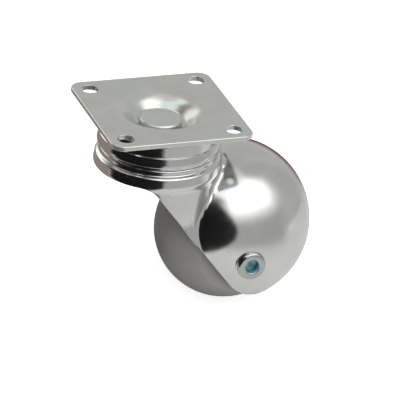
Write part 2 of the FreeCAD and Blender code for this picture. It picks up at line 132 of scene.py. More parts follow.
def unit(vectors: np.ndarray) -> np.ndarray:
    """Vectors of the same directions, one long."""
    return vectors / np.linalg.norm(vectors, axis=-1, keepdims=True)


def turn_between(first: np.ndarray, last: np.ndarray, shares: np.ndarray) -> np.ndarray:
    """Even turn from one vector to another of the same length.

    Each result is sin((1 - t) a) / sin(a) times the first plus sin(t a) / sin(a) times the last, where a is
    the angle between them and t the share.

    Args:
        first: Vectors at share 0.
        last: Vectors at share 1.
        shares: Shares between 0 and 1, on a new leading dimension.

    Returns:
        The vectors for every share.
    """
    cosine = np.sum(unit(first) * unit(last), axis=-1, keepdims=True)
    angle = np.arccos(np.clip(cosine, -1.0, 1.0))
    share = shares.reshape(-1, *([1] * first.ndim))
    return (np.sin((1 - share) * angle) * first + np.sin(share * angle) * last) / np.sin(angle)


def rounded_line(corners: Sequence[tuple[float, ...]], steps: int = 8) -> np.ndarray:
    """Line through corners, where a third number rounds a corner with a tangent arc.

    The arc's centre lies on the corner's bisector at radius over the sine of the half angle, and its points
    turn evenly about it from one tangent point to the other.

    Args:
        corners: Two coordinates for each corner, and the bend radius if it has one.
        steps: Pieces in each arc.

    Returns:
        The line's points, one row each.
    """
    points = np.array([corner[:2] for corner in corners])
    shares = np.linspace(0, 1, steps + 1)
    runs = []
    for index, corner in enumerate(corners):
        if len(corner) == 2:
            runs.append(points[index : index + 1])
            continue
        to_before = unit(points[index - 1] - points[index])
        to_after = unit(points[(index + 1) % len(corners)] - points[index])
        half_angle = math.acos(float(to_before @ to_after)) / 2
        centre = points[index] + unit(to_before + to_after) * corner[2] / math.sin(half_angle)
        reach = corner[2] / math.tan(half_angle)
        first = points[index] + to_before * reach - centre
        last = points[index] + to_after * reach - centre
        runs.append(centre + turn_between(first, last, shares))
    return np.concatenate(runs)


def lengths_along(line: np.ndarray) -> np.ndarray:
    """Distance of every point from the line's start, measured along the line."""
    return np.concatenate([[0.0], np.cumsum(np.linalg.norm(np.diff(line, axis=0), axis=1))])


def resample(line: np.ndarray, count: int) -> np.ndarray:
    """Points at even distances along a line.

    Args:
        line: The line's points.
        count: How many points to return.

    Returns:
        The new points.
    """
    along = lengths_along(line)
    places = np.linspace(0, along[-1], count)
    return np.stack([np.interp(places, along, column) for column in line.T], axis=1)


def circle(steps: int) -> np.ndarray:
    """Directions round a full turn in the XY plane, without the last one, which is the first."""
    angles = np.arange(steps) * FULL_TURN / steps
    return np.stack([np.cos(angles), np.sin(angles)], axis=1)


def lathe(profile: np.ndarray, axis: Axis, centre: Sequence[float], steps: int = 128) -> Patch:
    """Turns a profile of (radius, level) points about an axis.

    A point is the radius times the direction round the axis, plus the level along it. On the axle, levels
    count towards the near side, -Y. Faces look out where the profile runs up along the outside.

    Args:
        profile: Radius and level for each point.
        axis: The line to go round.
        centre: Where the level is zero on that line.
        steps: Columns round the axis.

    Returns:
        The closed ring of faces.
    """
    around = circle(steps)
    wide = profile[:, None, 0] * around[None, :, 0]
    deep = profile[:, None, 0] * around[None, :, 1]
    level = np.broadcast_to(profile[:, None, 1], wide.shape)
    if axis is Axis.AXLE:
        points = np.stack([wide, -level, deep], axis=-1)
    else:
        points = np.stack([wide, deep, level], axis=-1)
    return Patch(points + np.array(centre), ring=True)


def along_outline(outline: np.ndarray, normals: np.ndarray, section: np.ndarray, flip: bool = False) -> Patch:
    """Carries a section of (inset, level) points round a flat outline.

    A point is the outline's point less the inset times the outline's outward normal, at the section's level.

    Args:
        outline: Points in the XY plane.
        normals: Outward normals there.
        section: Inset and level of each point of the section.
        flip: Whether the faces look the other way.

    Returns:
        The closed ring of faces.
    """
    flat = outline[None] - section[:, None, :1] * normals[None]
    level = np.broadcast_to(section[:, None, 1:], (*flat.shape[:2], 1))
    return Patch(np.concatenate([flat, level], axis=-1), ring=True, flip=flip)


def flat_sheet(outline: np.ndarray, holes: Sequence[np.ndarray], level: float, down: bool) -> Sheet:
    """Fills a flat outline that has round holes.

    Args:
        outline: Points of the outer edge, in order.
        holes: Points of each hole's edge, in order.
        level: Height of the sheet.
        down: Whether the sheet looks down.

    Returns:
        The points and the triangles, as arrays.
    """
    loops = [outline, *holes]
    starts = np.cumsum([0, *(len(loop) for loop in loops[:-1])])
    edges = []
    for start, loop in zip(starts, loops):
        numbers = start + np.arange(len(loop))
        edges.extend(np.stack([numbers, np.roll(numbers, -1)], axis=1).tolist())
    flat = [Vector(point) for point in np.concatenate(loops)]
    found, _, triangles, *_ = delaunay_2d_cdt(flat, edges, [], 1, FILL_PRECISION)
    points = np.array([point[:] for point in found])
    corners = np.array(triangles)
    middles = points[corners].mean(axis=1)
    kept = np.ones(len(corners), bool)
    for hole in holes:
        centre = hole.mean(axis=0)
        radius = np.linalg.norm(hole[0] - centre)
        kept &= np.linalg.norm(middles - centre, axis=1) > radius
    corners = corners[kept]
    spread = points[corners]
    first, second = spread[:, 1] - spread[:, 0], spread[:, 2] - spread[:, 0]
    looks_down = first[:, 0] * second[:, 1] < first[:, 1] * second[:, 0]
    corners[looks_down != down] = corners[looks_down != down][:, ::-1]
    return np.column_stack([points, np.full(len(points), level)]), corners


class Nodes:
    """Short way to build one material's node tree."""

    def __init__(self, name: str) -> None:
        """Starts a material with an empty tree and its output.

        Args:
            name: The material's name.
        """
        self.material = bpy.data.materials.new(name)
        self.material.use_nodes = True
        self.tree = self.material.node_tree
        self.tree.nodes.clear()
        self.output = self.add("ShaderNodeOutputMaterial")

    def add(self, kind: str, inputs: dict | None = None, **settings: object) -> bpy.types.Node:
        """Adds a node.

        Args:
            kind: Blender's name of the node.
            inputs: Value, or socket to link from, for each input name.
            settings: Properties of the node.

        Returns:
            The new node.
        """
        node = self.tree.nodes.new(kind)
        for key, value in settings.items():
            setattr(node, key, value)
        for key, value in (inputs or {}).items():
            if isinstance(value, bpy.types.NodeSocket):
                self.tree.links.new(value, node.inputs[key])
            else:
                node.inputs[key].default_value = value
        return node

    def place(self) -> bpy.types.NodeSocket:
        """Object coordinates, which stay with the piece."""
        return self.add("ShaderNodeTexCoord").outputs["Object"]

    def noise(self, place: bpy.types.NodeSocket, scale: float, detail: float = 3.0,
              roughness: float = 0.5) -> bpy.types.NodeSocket:
        """Cloudy noise.

        Args:
            place: Coordinates.
            scale: Clouds in a metre.
            detail: Finer layers.
            roughness: Weight of the finer layers.

        Returns:
            The noise's value.
        """
        inputs = {"Vector": place, "Scale": scale, "Detail": detail, "Roughness": roughness}
        return self.add("ShaderNodeTexNoise", inputs).outputs["Fac"]

    def stretched(self, place: bpy.types.NodeSocket, scale: Point = (1.0, 1.0, 1.0),
                  turn: Point = MIDDLE) -> bpy.types.NodeSocket:
        """Coordinates that are turned and then stretched.

        Args:
            place: Coordinates.
            scale: Factor for each axis.
            turn: Angles about each axis.

        Returns:
            The new coordinates.
        """
        inputs = {"Vector": place, "Scale": scale, "Rotation": turn}
        return self.add("ShaderNodeMapping", inputs, vector_type="POINT").outputs["Vector"]

    def ramp(self, value: bpy.types.NodeSocket,
             stops: Sequence[tuple[float, Colour]]) -> bpy.types.NodeSocket:
        """Colours for a value.

        Args:
            value: What to look up.
            stops: Place and colour of each stop.

        Returns:
            The colour.
        """
        node = self.add("ShaderNodeValToRGB", {"Fac": value})
        elements = node.color_ramp.elements
        while len(elements) < len(stops):
            elements.new(0.5)
        for element, (spot, colour) in zip(elements, stops):
            element.position = spot
            element.color = (*colour, 1.0)
        return node.outputs["Color"]

    def spread(self, value: bpy.types.NodeSocket, low: float, high: float, start: float = 0.3,
               end: float = 0.7) -> bpy.types.NodeSocket:
        """A value carried from one range to another.

        Args:
            value: What to carry over.
            low: Result at the range's start.
            high: Result at the range's end.
            start: Start of the value's own range.
            end: End of the value's own range.

        Returns:
            The new value.
        """
        inputs = {"Value": value, "From Min": start, "From Max": end, "To Min": low, "To Max": high}
        return self.add("ShaderNodeMapRange", inputs).outputs["Result"]

    def bump(self, height: bpy.types.NodeSocket, strength: float, depth: float,
             under: bpy.types.NodeSocket | None = None) -> bpy.types.NodeSocket:
        """Fine relief.

        Args:
            height: The relief's height.
            strength: How much of it shows.
            depth: Its depth in metres.
            under: Relief that it lies on.

        Returns:
            The new normal.
        """
        inputs = {"Height": height, "Strength": strength, "Distance": depth}
        if under is not None:
            inputs["Normal"] = under
        return self.add("ShaderNodeBump", inputs).outputs["Normal"]

    def mix(self, share: bpy.types.NodeSocket | float, first: object, second: object) -> bpy.types.NodeSocket:
        """Blend of two colours.

        Args:
            share: Share of the second colour.
            first: First colour or socket.
            second: Second colour or socket.

        Returns:
            The colour.
        """
        node = self.add("ShaderNodeMix", data_type="RGBA")
        # Among the node's sockets, inputs 6 and 7 are its two colours and output 2 is their blend.
        for key, value in ((0, share), (6, first), (7, second)):
            if isinstance(value, bpy.types.NodeSocket):
                self.tree.links.new(value, node.inputs[key])
            else:
                node.inputs[key].default_value = value if key == 0 else (*value, 1.0)
        return node.outputs[2]

    def combine(self, operation: str, first: object, second: object) -> bpy.types.NodeSocket:
        """Two numbers, or sockets, put together by one of the math node's operations."""
        return self.add("ShaderNodeMath", {0: first, 1: second}, operation=operation).outputs["Value"]

    def away(self, place: bpy.types.NodeSocket, spot: Point) -> bpy.types.NodeSocket:
        """Distance of the coordinates from a spot."""
        return self.add("ShaderNodeVectorMath", {0: place, 1: spot}, operation="DISTANCE").outputs["Value"]

    def blend(self, share: bpy.types.NodeSocket, first: bpy.types.NodeSocket,
              second: bpy.types.NodeSocket) -> bpy.types.NodeSocket:
        """Shader that goes from the first to the second one as the share grows."""
        return self.add("ShaderNodeMixShader", {0: share, 1: first, 2: second}).outputs["Shader"]

    def finish(self, surface: bpy.types.NodeSocket) -> bpy.types.Material:
        """Ends the tree with a shader, and gives the finished material."""
        self.tree.links.new(surface, self.output.inputs["Surface"])
        return self.material

    def shade(self, inputs: dict) -> bpy.types.Material:
        """Ends the tree with a principled shader of these inputs, and gives the finished material."""
        return self.finish(self.add("ShaderNodeBsdfPrincipled", inputs).outputs["BSDF"])


@dataclass(frozen=True)
class BrightPlating:
    """Bright plating on a pressing: a mirror with faint waves, haze and fine handling scratches.

    Scales count clouds in a metre, and depths are metres.
    """

    name: str
    light: Colour = (0.66, 0.66, 0.65)
    dull: Colour = (0.60, 0.60, 0.585)
    gloss: float = 0.12
    haze: float = 0.20
    cloud_scale: float = 90.0
    haze_scale: float = 240.0
    wave_scale: float = 70.0
    wave_share: float = 0.12
    wave_depth: float = 0.00025
    scratch_stretch: Point = (900.0, 900.0, 60.0)
    scratch_turn: Point = (0.3, 0.2, 0.0)
    scratch_scale: float = 2.0
    scratch_share: float = 0.05
    scratch_depth: float = 0.00002

    def build(self) -> bpy.types.Material:
        """Makes the material.

        Returns:
            The finished material.
        """
        nodes = Nodes(self.name)
        place = nodes.place()
        clouds = nodes.noise(place, self.cloud_scale, detail=4.0, roughness=0.6)
        colour = nodes.ramp(clouds, [(0.35, self.dull), (0.6, self.light)])
        breath = nodes.noise(place, self.haze_scale, detail=5.0, roughness=0.65)
        roughness = nodes.spread(breath, self.gloss, self.haze, start=0.35, end=0.75)
        swells = nodes.noise(place, self.wave_scale, detail=1.5)
        waves = nodes.bump(swells, self.wave_share, self.wave_depth)
        along = nodes.stretched(place, self.scratch_stretch, self.scratch_turn)
        scratches = nodes.noise(along, self.scratch_scale, detail=2.0, roughness=0.7)
        normal = nodes.bump(scratches, self.scratch_share, self.scratch_depth, waves)
        return nodes.shade({"Base Color": colour, "Metallic": 1.0, "Roughness": roughness, "Normal": normal})


@dataclass(frozen=True)
class ZincPlating:
    """Satin zinc on sheet or rivets: grey with faint clouds, blue or yellow breath and rolled grain.

    Scales count clouds in a metre, and depths are metres.
    """

    name: str
    light: Colour = (0.57, 0.573, 0.535)
    dull: Colour = (0.525, 0.528, 0.49)
    breath: Colour = (0.49, 0.545, 0.545)
    gloss: float = 0.18
    haze: float = 0.25
    metal: float = 0.80
    cloud_scale: float = 130.0
    breath_scale: float = 60.0
    breath_turn: Point = (0.0, 0.0, 0.7)
    breath_share: float = 0.55
    haze_scale: float = 140.0
    grain_stretch: Point = (250.0, 2500.0, 2500.0)
    grain_share: float = 0.02
    grain_depth: float = 0.00002

    def colour(self, nodes: Nodes, place: bpy.types.NodeSocket) -> bpy.types.NodeSocket:
        """Cloudy grey with a breath of another tint here and there.

        Args:
            nodes: The material's tree.
            place: Coordinates.

        Returns:
            The colour.
        """
        clouds = nodes.noise(place, self.cloud_scale, detail=5.0, roughness=0.6)
        grey = nodes.ramp(clouds, [(0.33, self.dull), (0.62, self.light)])
        patches = nodes.noise(nodes.stretched(place, turn=self.breath_turn), self.breath_scale, detail=2.0)
        share = nodes.spread(patches, 0.0, self.breath_share, start=0.45, end=0.75)
        return nodes.mix(share, grey, self.breath)

    def roughness(self, nodes: Nodes, place: bpy.types.NodeSocket) -> bpy.types.NodeSocket:
        """Gloss that clouds over here and there."""
        return nodes.spread(nodes.noise(place, self.haze_scale), self.gloss, self.haze)

    def build(self) -> bpy.types.Material:
        """Makes the material.

        Returns:
            The finished material.
        """
        nodes = Nodes(self.name)
        place = nodes.place()
        grain = nodes.noise(nodes.stretched(place, self.grain_stretch), 1.0, roughness=0.7)
        return nodes.shade({
            "Base Color": self.colour(nodes, place),
            "Metallic": self.metal,
            "Roughness": self.roughness(nodes, place),
            "Normal": nodes.bump(grain, self.grain_share, self.grain_depth),
        })


@dataclass(frozen=True)
class RivetPlating(ZincPlating):
    """Zinc on a hollow rivet, whose bore is stained dark blue by the passivation.

    Lengths are metres. The line is the axle's place in X and Z.
    """

    bore: float = 0.0023
    bore_edge: float = 0.0002
    bore_dull: float = 0.45
    line: tuple[float, float] = (TRAIL * METRES, AXLE_LEVEL * METRES)
    stain: Colour = (0.62, 0.72, 0.74)
    stain_dark: Colour = (0.14, 0.40, 0.48)
    stain_scale: float = 320.0

    def inside(self, nodes: Nodes, place: bpy.types.NodeSocket) -> bpy.types.NodeSocket:
        """One within the bore's radius of the axle's line at the near end, and nothing elsewhere.

        Args:
            nodes: The material's tree.
            place: Coordinates.

        Returns:
            The share.
        """
        flat = nodes.stretched(place, (1.0, 0.0, 1.0))
        away = nodes.away(flat, (self.line[0], 0.0, self.line[1]))
        within = nodes.spread(away, 1.0, 0.0, self.bore - self.bore_edge, self.bore)
        across = nodes.add("ShaderNodeSeparateXYZ", {"Vector": place}).outputs["Y"]
        near = nodes.combine("LESS_THAN", across, 0.0)
        return nodes.combine("MULTIPLY", within, near)

    def colour(self, nodes: Nodes, place: bpy.types.NodeSocket) -> bpy.types.NodeSocket:
        """Zinc outside and the stain in the bore.

        Args:
            nodes: The material's tree.
            place: Coordinates.

        Returns:
            The colour.
        """
        clouds = nodes.noise(place, self.stain_scale, detail=1.0)
        stain = nodes.ramp(clouds, [(0.4, self.stain_dark), (0.62, self.stain)])
        return nodes.mix(self.inside(nodes, place), super().colour(nodes, place), stain)

    def roughness(self, nodes: Nodes, place: bpy.types.NodeSocket) -> bpy.types.NodeSocket:
        """Gloss outside and a dull bore."""
        dull = nodes.combine("MULTIPLY", self.inside(nodes, place), self.bore_dull)
        return nodes.combine("ADD", super().roughness(nodes, place), dull)


@dataclass(frozen=True)
class MouldedPlastic:
    """Moulded plastic: slight clouds, a fine skin, a few specks and dots of dirt at given places.

    Lengths are metres, and scales count clouds, or cells for specks, in a metre.
    """

    name: str
    dots: tuple[Point, ...] = ()
    dot_radius: float = 0.0003
    light: Colour = (0.205, 0.200, 0.193)
    dark: Colour = (0.175, 0.171, 0.165)
    speck: Colour = (0.055, 0.05, 0.045)
    gloss: float = 0.43
    haze: float = 0.56
    cloud_scale: float = 110.0
    speck_scale: float = 150.0
    speck_free_scale: float = 60.0
    skin_scale: float = 2600.0
    skin_share: float = 0.10
    skin_depth: float = 0.00004

    def build(self) -> bpy.types.Material:
        """Makes the material.

        Returns:
            The finished material.
        """
        nodes = Nodes(self.name)
        place = nodes.place()
        clouds = nodes.noise(place, self.cloud_scale, detail=4.0, roughness=0.55)
        colour = nodes.ramp(clouds, [(0.3, self.dark), (0.7, self.light)])
        scattered = {"Vector": place, "Scale": self.speck_scale, "Randomness": 1.0}
        cells = nodes.add("ShaderNodeTexVoronoi", scattered)
        specks = nodes.spread(cells.outputs["Distance"], 1.0, 0.0, start=0.035, end=0.07)
        regions = nodes.noise(place, self.speck_free_scale, detail=0.0)
        few = nodes.spread(regions, 0.0, 1.0, start=0.60, end=0.62)
        colour = nodes.mix(nodes.combine("MULTIPLY", specks, few), colour, self.speck)
        for dot in self.dots:
            share = nodes.spread(nodes.away(place, dot), 1.0, 0.0, self.dot_radius / 2, self.dot_radius)
            colour = nodes.mix(share, colour, self.speck)
        skin = nodes.noise(place, self.skin_scale, roughness=0.6)
        roughness = nodes.spread(clouds, self.gloss, self.haze)
        normal = nodes.bump(skin, self.skin_share, self.skin_depth)
        return nodes.shade({"Base Color": colour, "Roughness": roughness, "Normal": normal})


@dataclass
class Workshop:
    """Makes pieces from patches and keeps one material for each slot.

    The dirt on the wheel and the two gaps for joining seams are metres.
    """

    wheel_dirt: tuple[Point, ...] = ((0.0029, -0.0009, -0.0342), (0.0056, -0.0109, -0.0434))
    merge_gap: float = 1e-7
    thin_gap: float = 1e-8
    materials: dict[str, bpy.types.Material] = field(default_factory=dict)

    def dress_slots(self) -> None:
        """Builds the finish of every material slot."""
        finishes = {
            "zinc_plate": ZincPlating("zinc_plate"),
            "zinc_rivet": ZincPlating("zinc_rivet", gloss=0.26, haze=0.40),
            "zinc_axle": RivetPlating("zinc_axle", light=(0.47, 0.47, 0.47), dull=(0.42, 0.42, 0.42),
                                      breath=(0.40, 0.43, 0.44), gloss=0.10, haze=0.16, metal=1.0),
            "chrome_cup": BrightPlating("chrome_cup", gloss=0.10, haze=0.20),
            "chrome_hood": BrightPlating("chrome_hood"),
            "race_steel": ZincPlating("race_steel", light=(0.46, 0.46, 0.46), dull=(0.34, 0.34, 0.34)),
            "sleeve_steel": ZincPlating("sleeve_steel", light=(0.50, 0.50, 0.50), dull=(0.38, 0.38, 0.38)),
            "bearing_steel": BrightPlating("bearing_steel", gloss=0.06, haze=0.12),
            "washer_nylon": MouldedPlastic("washer_nylon", light=(0.76, 0.75, 0.71), dark=(0.68, 0.67, 0.62),
                                           speck=(0.55, 0.53, 0.48)),
            "grey_wheel": MouldedPlastic("grey_wheel", dots=self.wheel_dirt),
        }
        self.materials = {slot: finish.build() for slot, finish in finishes.items()}

    def dress_nodes(self) -> None:
        """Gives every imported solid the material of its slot."""
        for row in frame["record"]["subparts"]:
            mesh = frame["nodes"][row["node"]].data
            mesh.materials.clear()
            mesh.materials.append(self.materials[row["material_slot"]])

    def piece(self, name: str, patches: Sequence[Patch], body: Body, slot: str, nodes: Sequence[str],
              sheets: Sequence[Sheet] = ()) -> bpy.types.Object:
        """Joins patches and flat sheets into one piece, and sets it on its body.

        Args:
            name: The piece's name.
            patches: Its grids.
            body: The body that it rides on.
            slot: The material slot of its finish.
            nodes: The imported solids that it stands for.
            sheets: Points and triangles of flat sheets.

        Returns:
            The new object.
        """
        points, faces, start = [], [], 0
        for patch in patches:
            points.append(patch.points.reshape(-1, 3))
            faces.extend(patch.quads(start).tolist())
            start += len(points[-1])
        for spots, triangles in sheets:
            points.append(spots)
            faces.extend((triangles + start).tolist())
            start += len(spots)
        mesh = bpy.data.meshes.new(name)
        mesh.from_pydata(np.concatenate(points) * METRES, [], faces)
        self.join_seams(mesh)
        mesh.polygons.foreach_set("use_smooth", np.ones(len(mesh.polygons), bool))
        mesh.materials.append(self.materials[slot])
        thing = bpy.data.objects.new(name, mesh)
        bpy.context.scene.collection.objects.link(thing)
        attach(thing, body.value)
        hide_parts(*nodes)
        LOG.info("%s: %d faces on %s", name, len(mesh.polygons), body.value)
        return thing

    def join_seams(self, mesh: bpy.types.Mesh) -> None:
        """Merges the points that patches share, and takes out faces without area.

        Args:
            mesh: The piece's mesh.
        """
        work = bmesh.new()
        work.from_mesh(mesh)
        bmesh.ops.remove_doubles(work, verts=work.verts, dist=self.merge_gap)
        bmesh.ops.dissolve_degenerate(work, dist=self.thin_gap, edges=work.edges)
        work.to_mesh(mesh)
        work.free()


def keep_flats(thing: bpy.types.Object) -> None:
    """Lets large faces lead the shading, so that flats stay flat beside rounded edges."""
    thing.modifiers.new("even_shading", "WEIGHTED_NORMAL").keep_sharp = True


@dataclass
class Swivel:
    """Plate, kingpin, race cup and bearing balls."""

    plate_side: float = 42.0
    plate_thick: float = 1.5
    plate_corner: float = 3.6
    edge_round: float = 0.35
    hole_pitch: float = 32.0
    hole_radius: float = 2.4
    hole_round: float = 0.2
    dish_top: float = 11.6
    dish_floor: float = 7.2
    dish_depth: float = 4.2
    dish_top_bend: float = 8.0
    dish_floor_bend: float = 2.5
    kingpin_hole: float = 4.06
    head_radius: float = 6.1
    head_height: float = 1.6
    head_break: float = 0.4
    head_corner_round: float = 0.25
    shank_radius: float = 4.0
    shank_end: float = -16.1
    shank_neck_radius: float = 3.2
    lower_race_thick: float = 1.0
    tail_radius: float = 4.8
    tail_height: float = 2.0
    tail_round: float = 1.2
    cup_radius: float = 17.7
    cup_height: float = 5.4
    cup_ring_inset: float = 0.9
    cup_ring_height: float = 1.4
    cup_ring_round: float = 0.6
    cup_rim_height: float = 2.2
    cup_rim_foot: float = 1.2
    cup_ledge_height: float = 2.0
    cup_ledge_bend: float = 1.2
    cup_inner_ledge: float = 1.0
    cup_wall: float = 1.0
    cup_lip_inset: float = 0.7
    cup_lip_height: float = 0.8
    cup_lip_round: float = 0.2
    cup_step_height: float = 0.3
    cup_step_bend: float = 0.3
    dish_steps: int = 16
    hole_steps: int = 48
    plate_steps: int = 128
    cup_steps: int = 192
    ball_steps: int = 32

    def plate_outline(self, steps: int = 24) -> tuple[np.ndarray, np.ndarray]:
        """The plate's rounded square and its outward normals.

        Every corner's arc is its centre plus the corner radius times directions of its quarter turn; the
        straight sides lie between the arcs.

        Args:
            steps: Pieces in each corner.

        Returns:
            Points and normals.
        """
        angles = np.linspace(0, math.pi / 2, steps + 1)[None] + np.arange(4)[:, None] * math.pi / 2
        normals = np.stack([np.cos(angles), np.sin(angles)], axis=-1)
        signs = np.sign(normals[:, steps // 2])[:, None]
        centres = signs * (self.plate_side / 2 - self.plate_corner)
        return (centres + normals * self.plate_corner).reshape(-1, 2), normals.reshape(-1, 2)

    def dish_line(self, shift: float, top: float, level: float, floor_bend: float,
                  top_bend: float) -> np.ndarray:
        """Half section of the dish from the kingpin hole to the plate's flat.

        Args:
            shift: How far the sloping wall moves out.
            top: Radius at which the flat starts.
            level: Height of the flat.
            floor_bend: Bend radius at the floor.
            top_bend: Bend radius at the mouth.

        Returns:
            Radius and level of each point.
        """
        return rounded_line([
            (self.kingpin_hole, level - self.dish_depth),
            (self.dish_floor + shift, level - self.dish_depth, floor_bend),
            (self.dish_top + shift, level, top_bend),
            (top, level),
        ], steps=self.dish_steps)

    def sheared_edge(self, rounding: float, inset: float) -> np.ndarray:
        """Section of the plate's outer edge or of a hole's edge, from the upper flat to the lower one.

        Args:
            rounding: Radius at both flats.
            inset: Where the flats start, counted in from the edge.

        Returns:
            Inset and level of each point.
        """
        return rounded_line([
            (inset, 0.0),
            (0.0, 0.0, rounding),
            (0.0, -self.plate_thick, rounding),
            (inset, -self.plate_thick),
        ])[1:-1]

    def build_plate(self, shop: Workshop) -> bpy.types.Object:
        """The mounting plate: two flats, the dish, the sheared edge and the hole walls.

        Args:
            shop: Where pieces are made.

        Returns:
            The piece.
        """
        slope = math.atan2(self.dish_depth, self.dish_top - self.dish_floor)
        shift = self.plate_thick * math.tan(slope / 2)
        mouth = self.dish_top + self.dish_top_bend / 2
        upper = self.dish_line(0.0, mouth, 0.0, self.dish_floor_bend, self.dish_top_bend)
        under = self.dish_line(shift, mouth, -self.plate_thick, self.dish_floor_bend + self.plate_thick,
                               self.dish_top_bend - self.plate_thick)
        dish = lathe(np.concatenate([upper[::-1], under]), Axis.SWIVEL, MIDDLE, self.plate_steps)
        outline, normals = self.plate_outline()
        rim = along_outline(outline, normals, self.sheared_edge(self.edge_round, self.edge_round), flip=True)
        around = circle(self.hole_steps)
        spots = [np.array([x, y]) * self.hole_pitch / 2 for x in (-1, 1) for y in (-1, 1)]
        hole_edge = self.sheared_edge(self.hole_round, -self.hole_round)
        walls = [along_outline(spot + around * self.hole_radius, around, hole_edge) for spot in spots]
        holes = [spot + around * (self.hole_radius + self.hole_round) for spot in spots]
        loops = [circle(self.plate_steps) * mouth, *holes]
        inner = outline - normals * self.edge_round
        sheets = [flat_sheet(inner, loops, 0.0, False), flat_sheet(inner, loops, -self.plate_thick, True)]
        patches = [dish, rim, *walls]
        thing = shop.piece("plate_sheet", patches, Body.PLATE, "zinc_plate", ["mounting_plate"], sheets)
        keep_flats(thing)
        return thing

    def build_kingpin(self, shop: Workshop) -> bpy.types.Object:
        """The kingpin: flat head in the dish, stepped shank and peened tail.

        Args:
            shop: Where pieces are made.

        Returns:
            The piece.
        """
        floor = -self.dish_depth
        top = floor + self.head_height
        race_foot = self.shank_end - self.lower_race_thick
        end = race_foot - self.tail_height
        section = rounded_line([
            (0.0, top),
            (self.head_radius - self.head_break, top, self.head_corner_round),
            (self.head_radius, top - self.head_break, self.head_corner_round),
            (self.head_radius, floor),
            (self.shank_radius, floor),
            (self.shank_radius, self.shank_end),
            (self.shank_neck_radius, self.shank_end),
            (self.shank_neck_radius, race_foot),
            (self.tail_radius, race_foot),
            (self.tail_radius, end, self.tail_round),
            (0.0, end),
        ])
        turned = lathe(section[::-1], Axis.SWIVEL, MIDDLE)
        thing = shop.piece("kingpin", [turned], Body.PLATE, "zinc_rivet", ["kingpin_rivet"])
        keep_flats(thing)
        return thing

    def build_cup(self, shop: Workshop) -> bpy.types.Object:
        """The upper race cup: a rim that rises behind the plate, a side that widens and a lip that steps in.

        Args:
            shop: Where pieces are made.

        Returns:
            The piece.
        """
        top = -self.dish_depth - self.plate_thick
        under = top - self.cup_wall
        lip_foot = top - self.cup_height
        lip_top = lip_foot + self.cup_lip_height
        side, inside = self.cup_radius, self.cup_radius - self.cup_wall
        ring, ring_inside = side - self.cup_ring_inset, inside - self.cup_ring_inset
        lip, lip_inside = side - self.cup_lip_inset, inside - self.cup_lip_inset
        ring_foot = top - self.cup_ring_height
        ledge_foot = ring_foot - self.cup_ledge_height
        side_foot = lip_top + self.cup_step_height
        rim = top + self.cup_rim_height
        half_wall = self.cup_wall / 2
        section = rounded_line([
            (self.kingpin_hole, top),
            (ring_inside - self.cup_rim_foot, top, self.cup_ledge_bend),
            (ring_inside, rim, self.cup_lip_round),
            (ring, rim, self.cup_ring_round),
            (ring, ring_foot, self.cup_step_bend),
            (ring + self.cup_step_height, ring_foot - self.cup_step_height, self.cup_step_bend),
            (side, ledge_foot, self.cup_ledge_bend),
            (side, side_foot, self.cup_step_bend),
            (lip, lip_top, self.cup_step_bend),
            (lip, lip_foot, self.cup_lip_round),
            (lip_inside, lip_foot),
            (lip_inside, lip_top + half_wall),
            (inside, side_foot + half_wall),
            (inside, ring_foot - self.cup_inner_ledge - half_wall),
            (ring_inside, ring_foot - half_wall),
            (ring_inside, under),
            (self.kingpin_hole, under),
            (self.kingpin_hole, top),
        ])
        turned = lathe(section[::-1], Axis.SWIVEL, MIDDLE, self.cup_steps)
        thing = shop.piece("race_cup", [turned], Body.PLATE, "chrome_cup", ["upper_race_cup"])
        keep_flats(thing)
        return thing

    def build_balls(self, shop: Workshop) -> list[bpy.types.Object]:
        """The bearing balls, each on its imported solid's own centre.

        A ball is its centre plus the radius times (cos a, sin a) from pole to pole, turned about the upright.

        Args:
            shop: Where pieces are made.

        Returns:
            The pieces.
        """
        slopes = np.linspace(-math.pi / 2, math.pi / 2, self.ball_steps // 2 + 1)
        half_circle = np.stack([np.cos(slopes), np.sin(slopes)], axis=1)
        balls = []
        for node in sorted(frame["nodes"]):
            if "_ball_" not in node:
                continue
            low, high = (np.array(corner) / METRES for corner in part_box(node))
            profile = half_circle * (high - low)[2] / 2
            body = Body.UPPER_ROW if node.startswith("upper") else Body.LOWER_ROW
            patch = lathe(profile, Axis.SWIVEL, (low + high) / 2, self.ball_steps)
            balls.append(shop.piece(f"{node}_polished", [patch], body, "bearing_steel", [node]))
        return balls

    def build(self, shop: Workshop) -> None:
        """Builds all pieces of the swivel.

        Args:
            shop: Where pieces are made.
        """
        self.build_plate(shop)
        self.build_kingpin(shop)
        self.build_cup(shop)
        self.build_balls(shop)


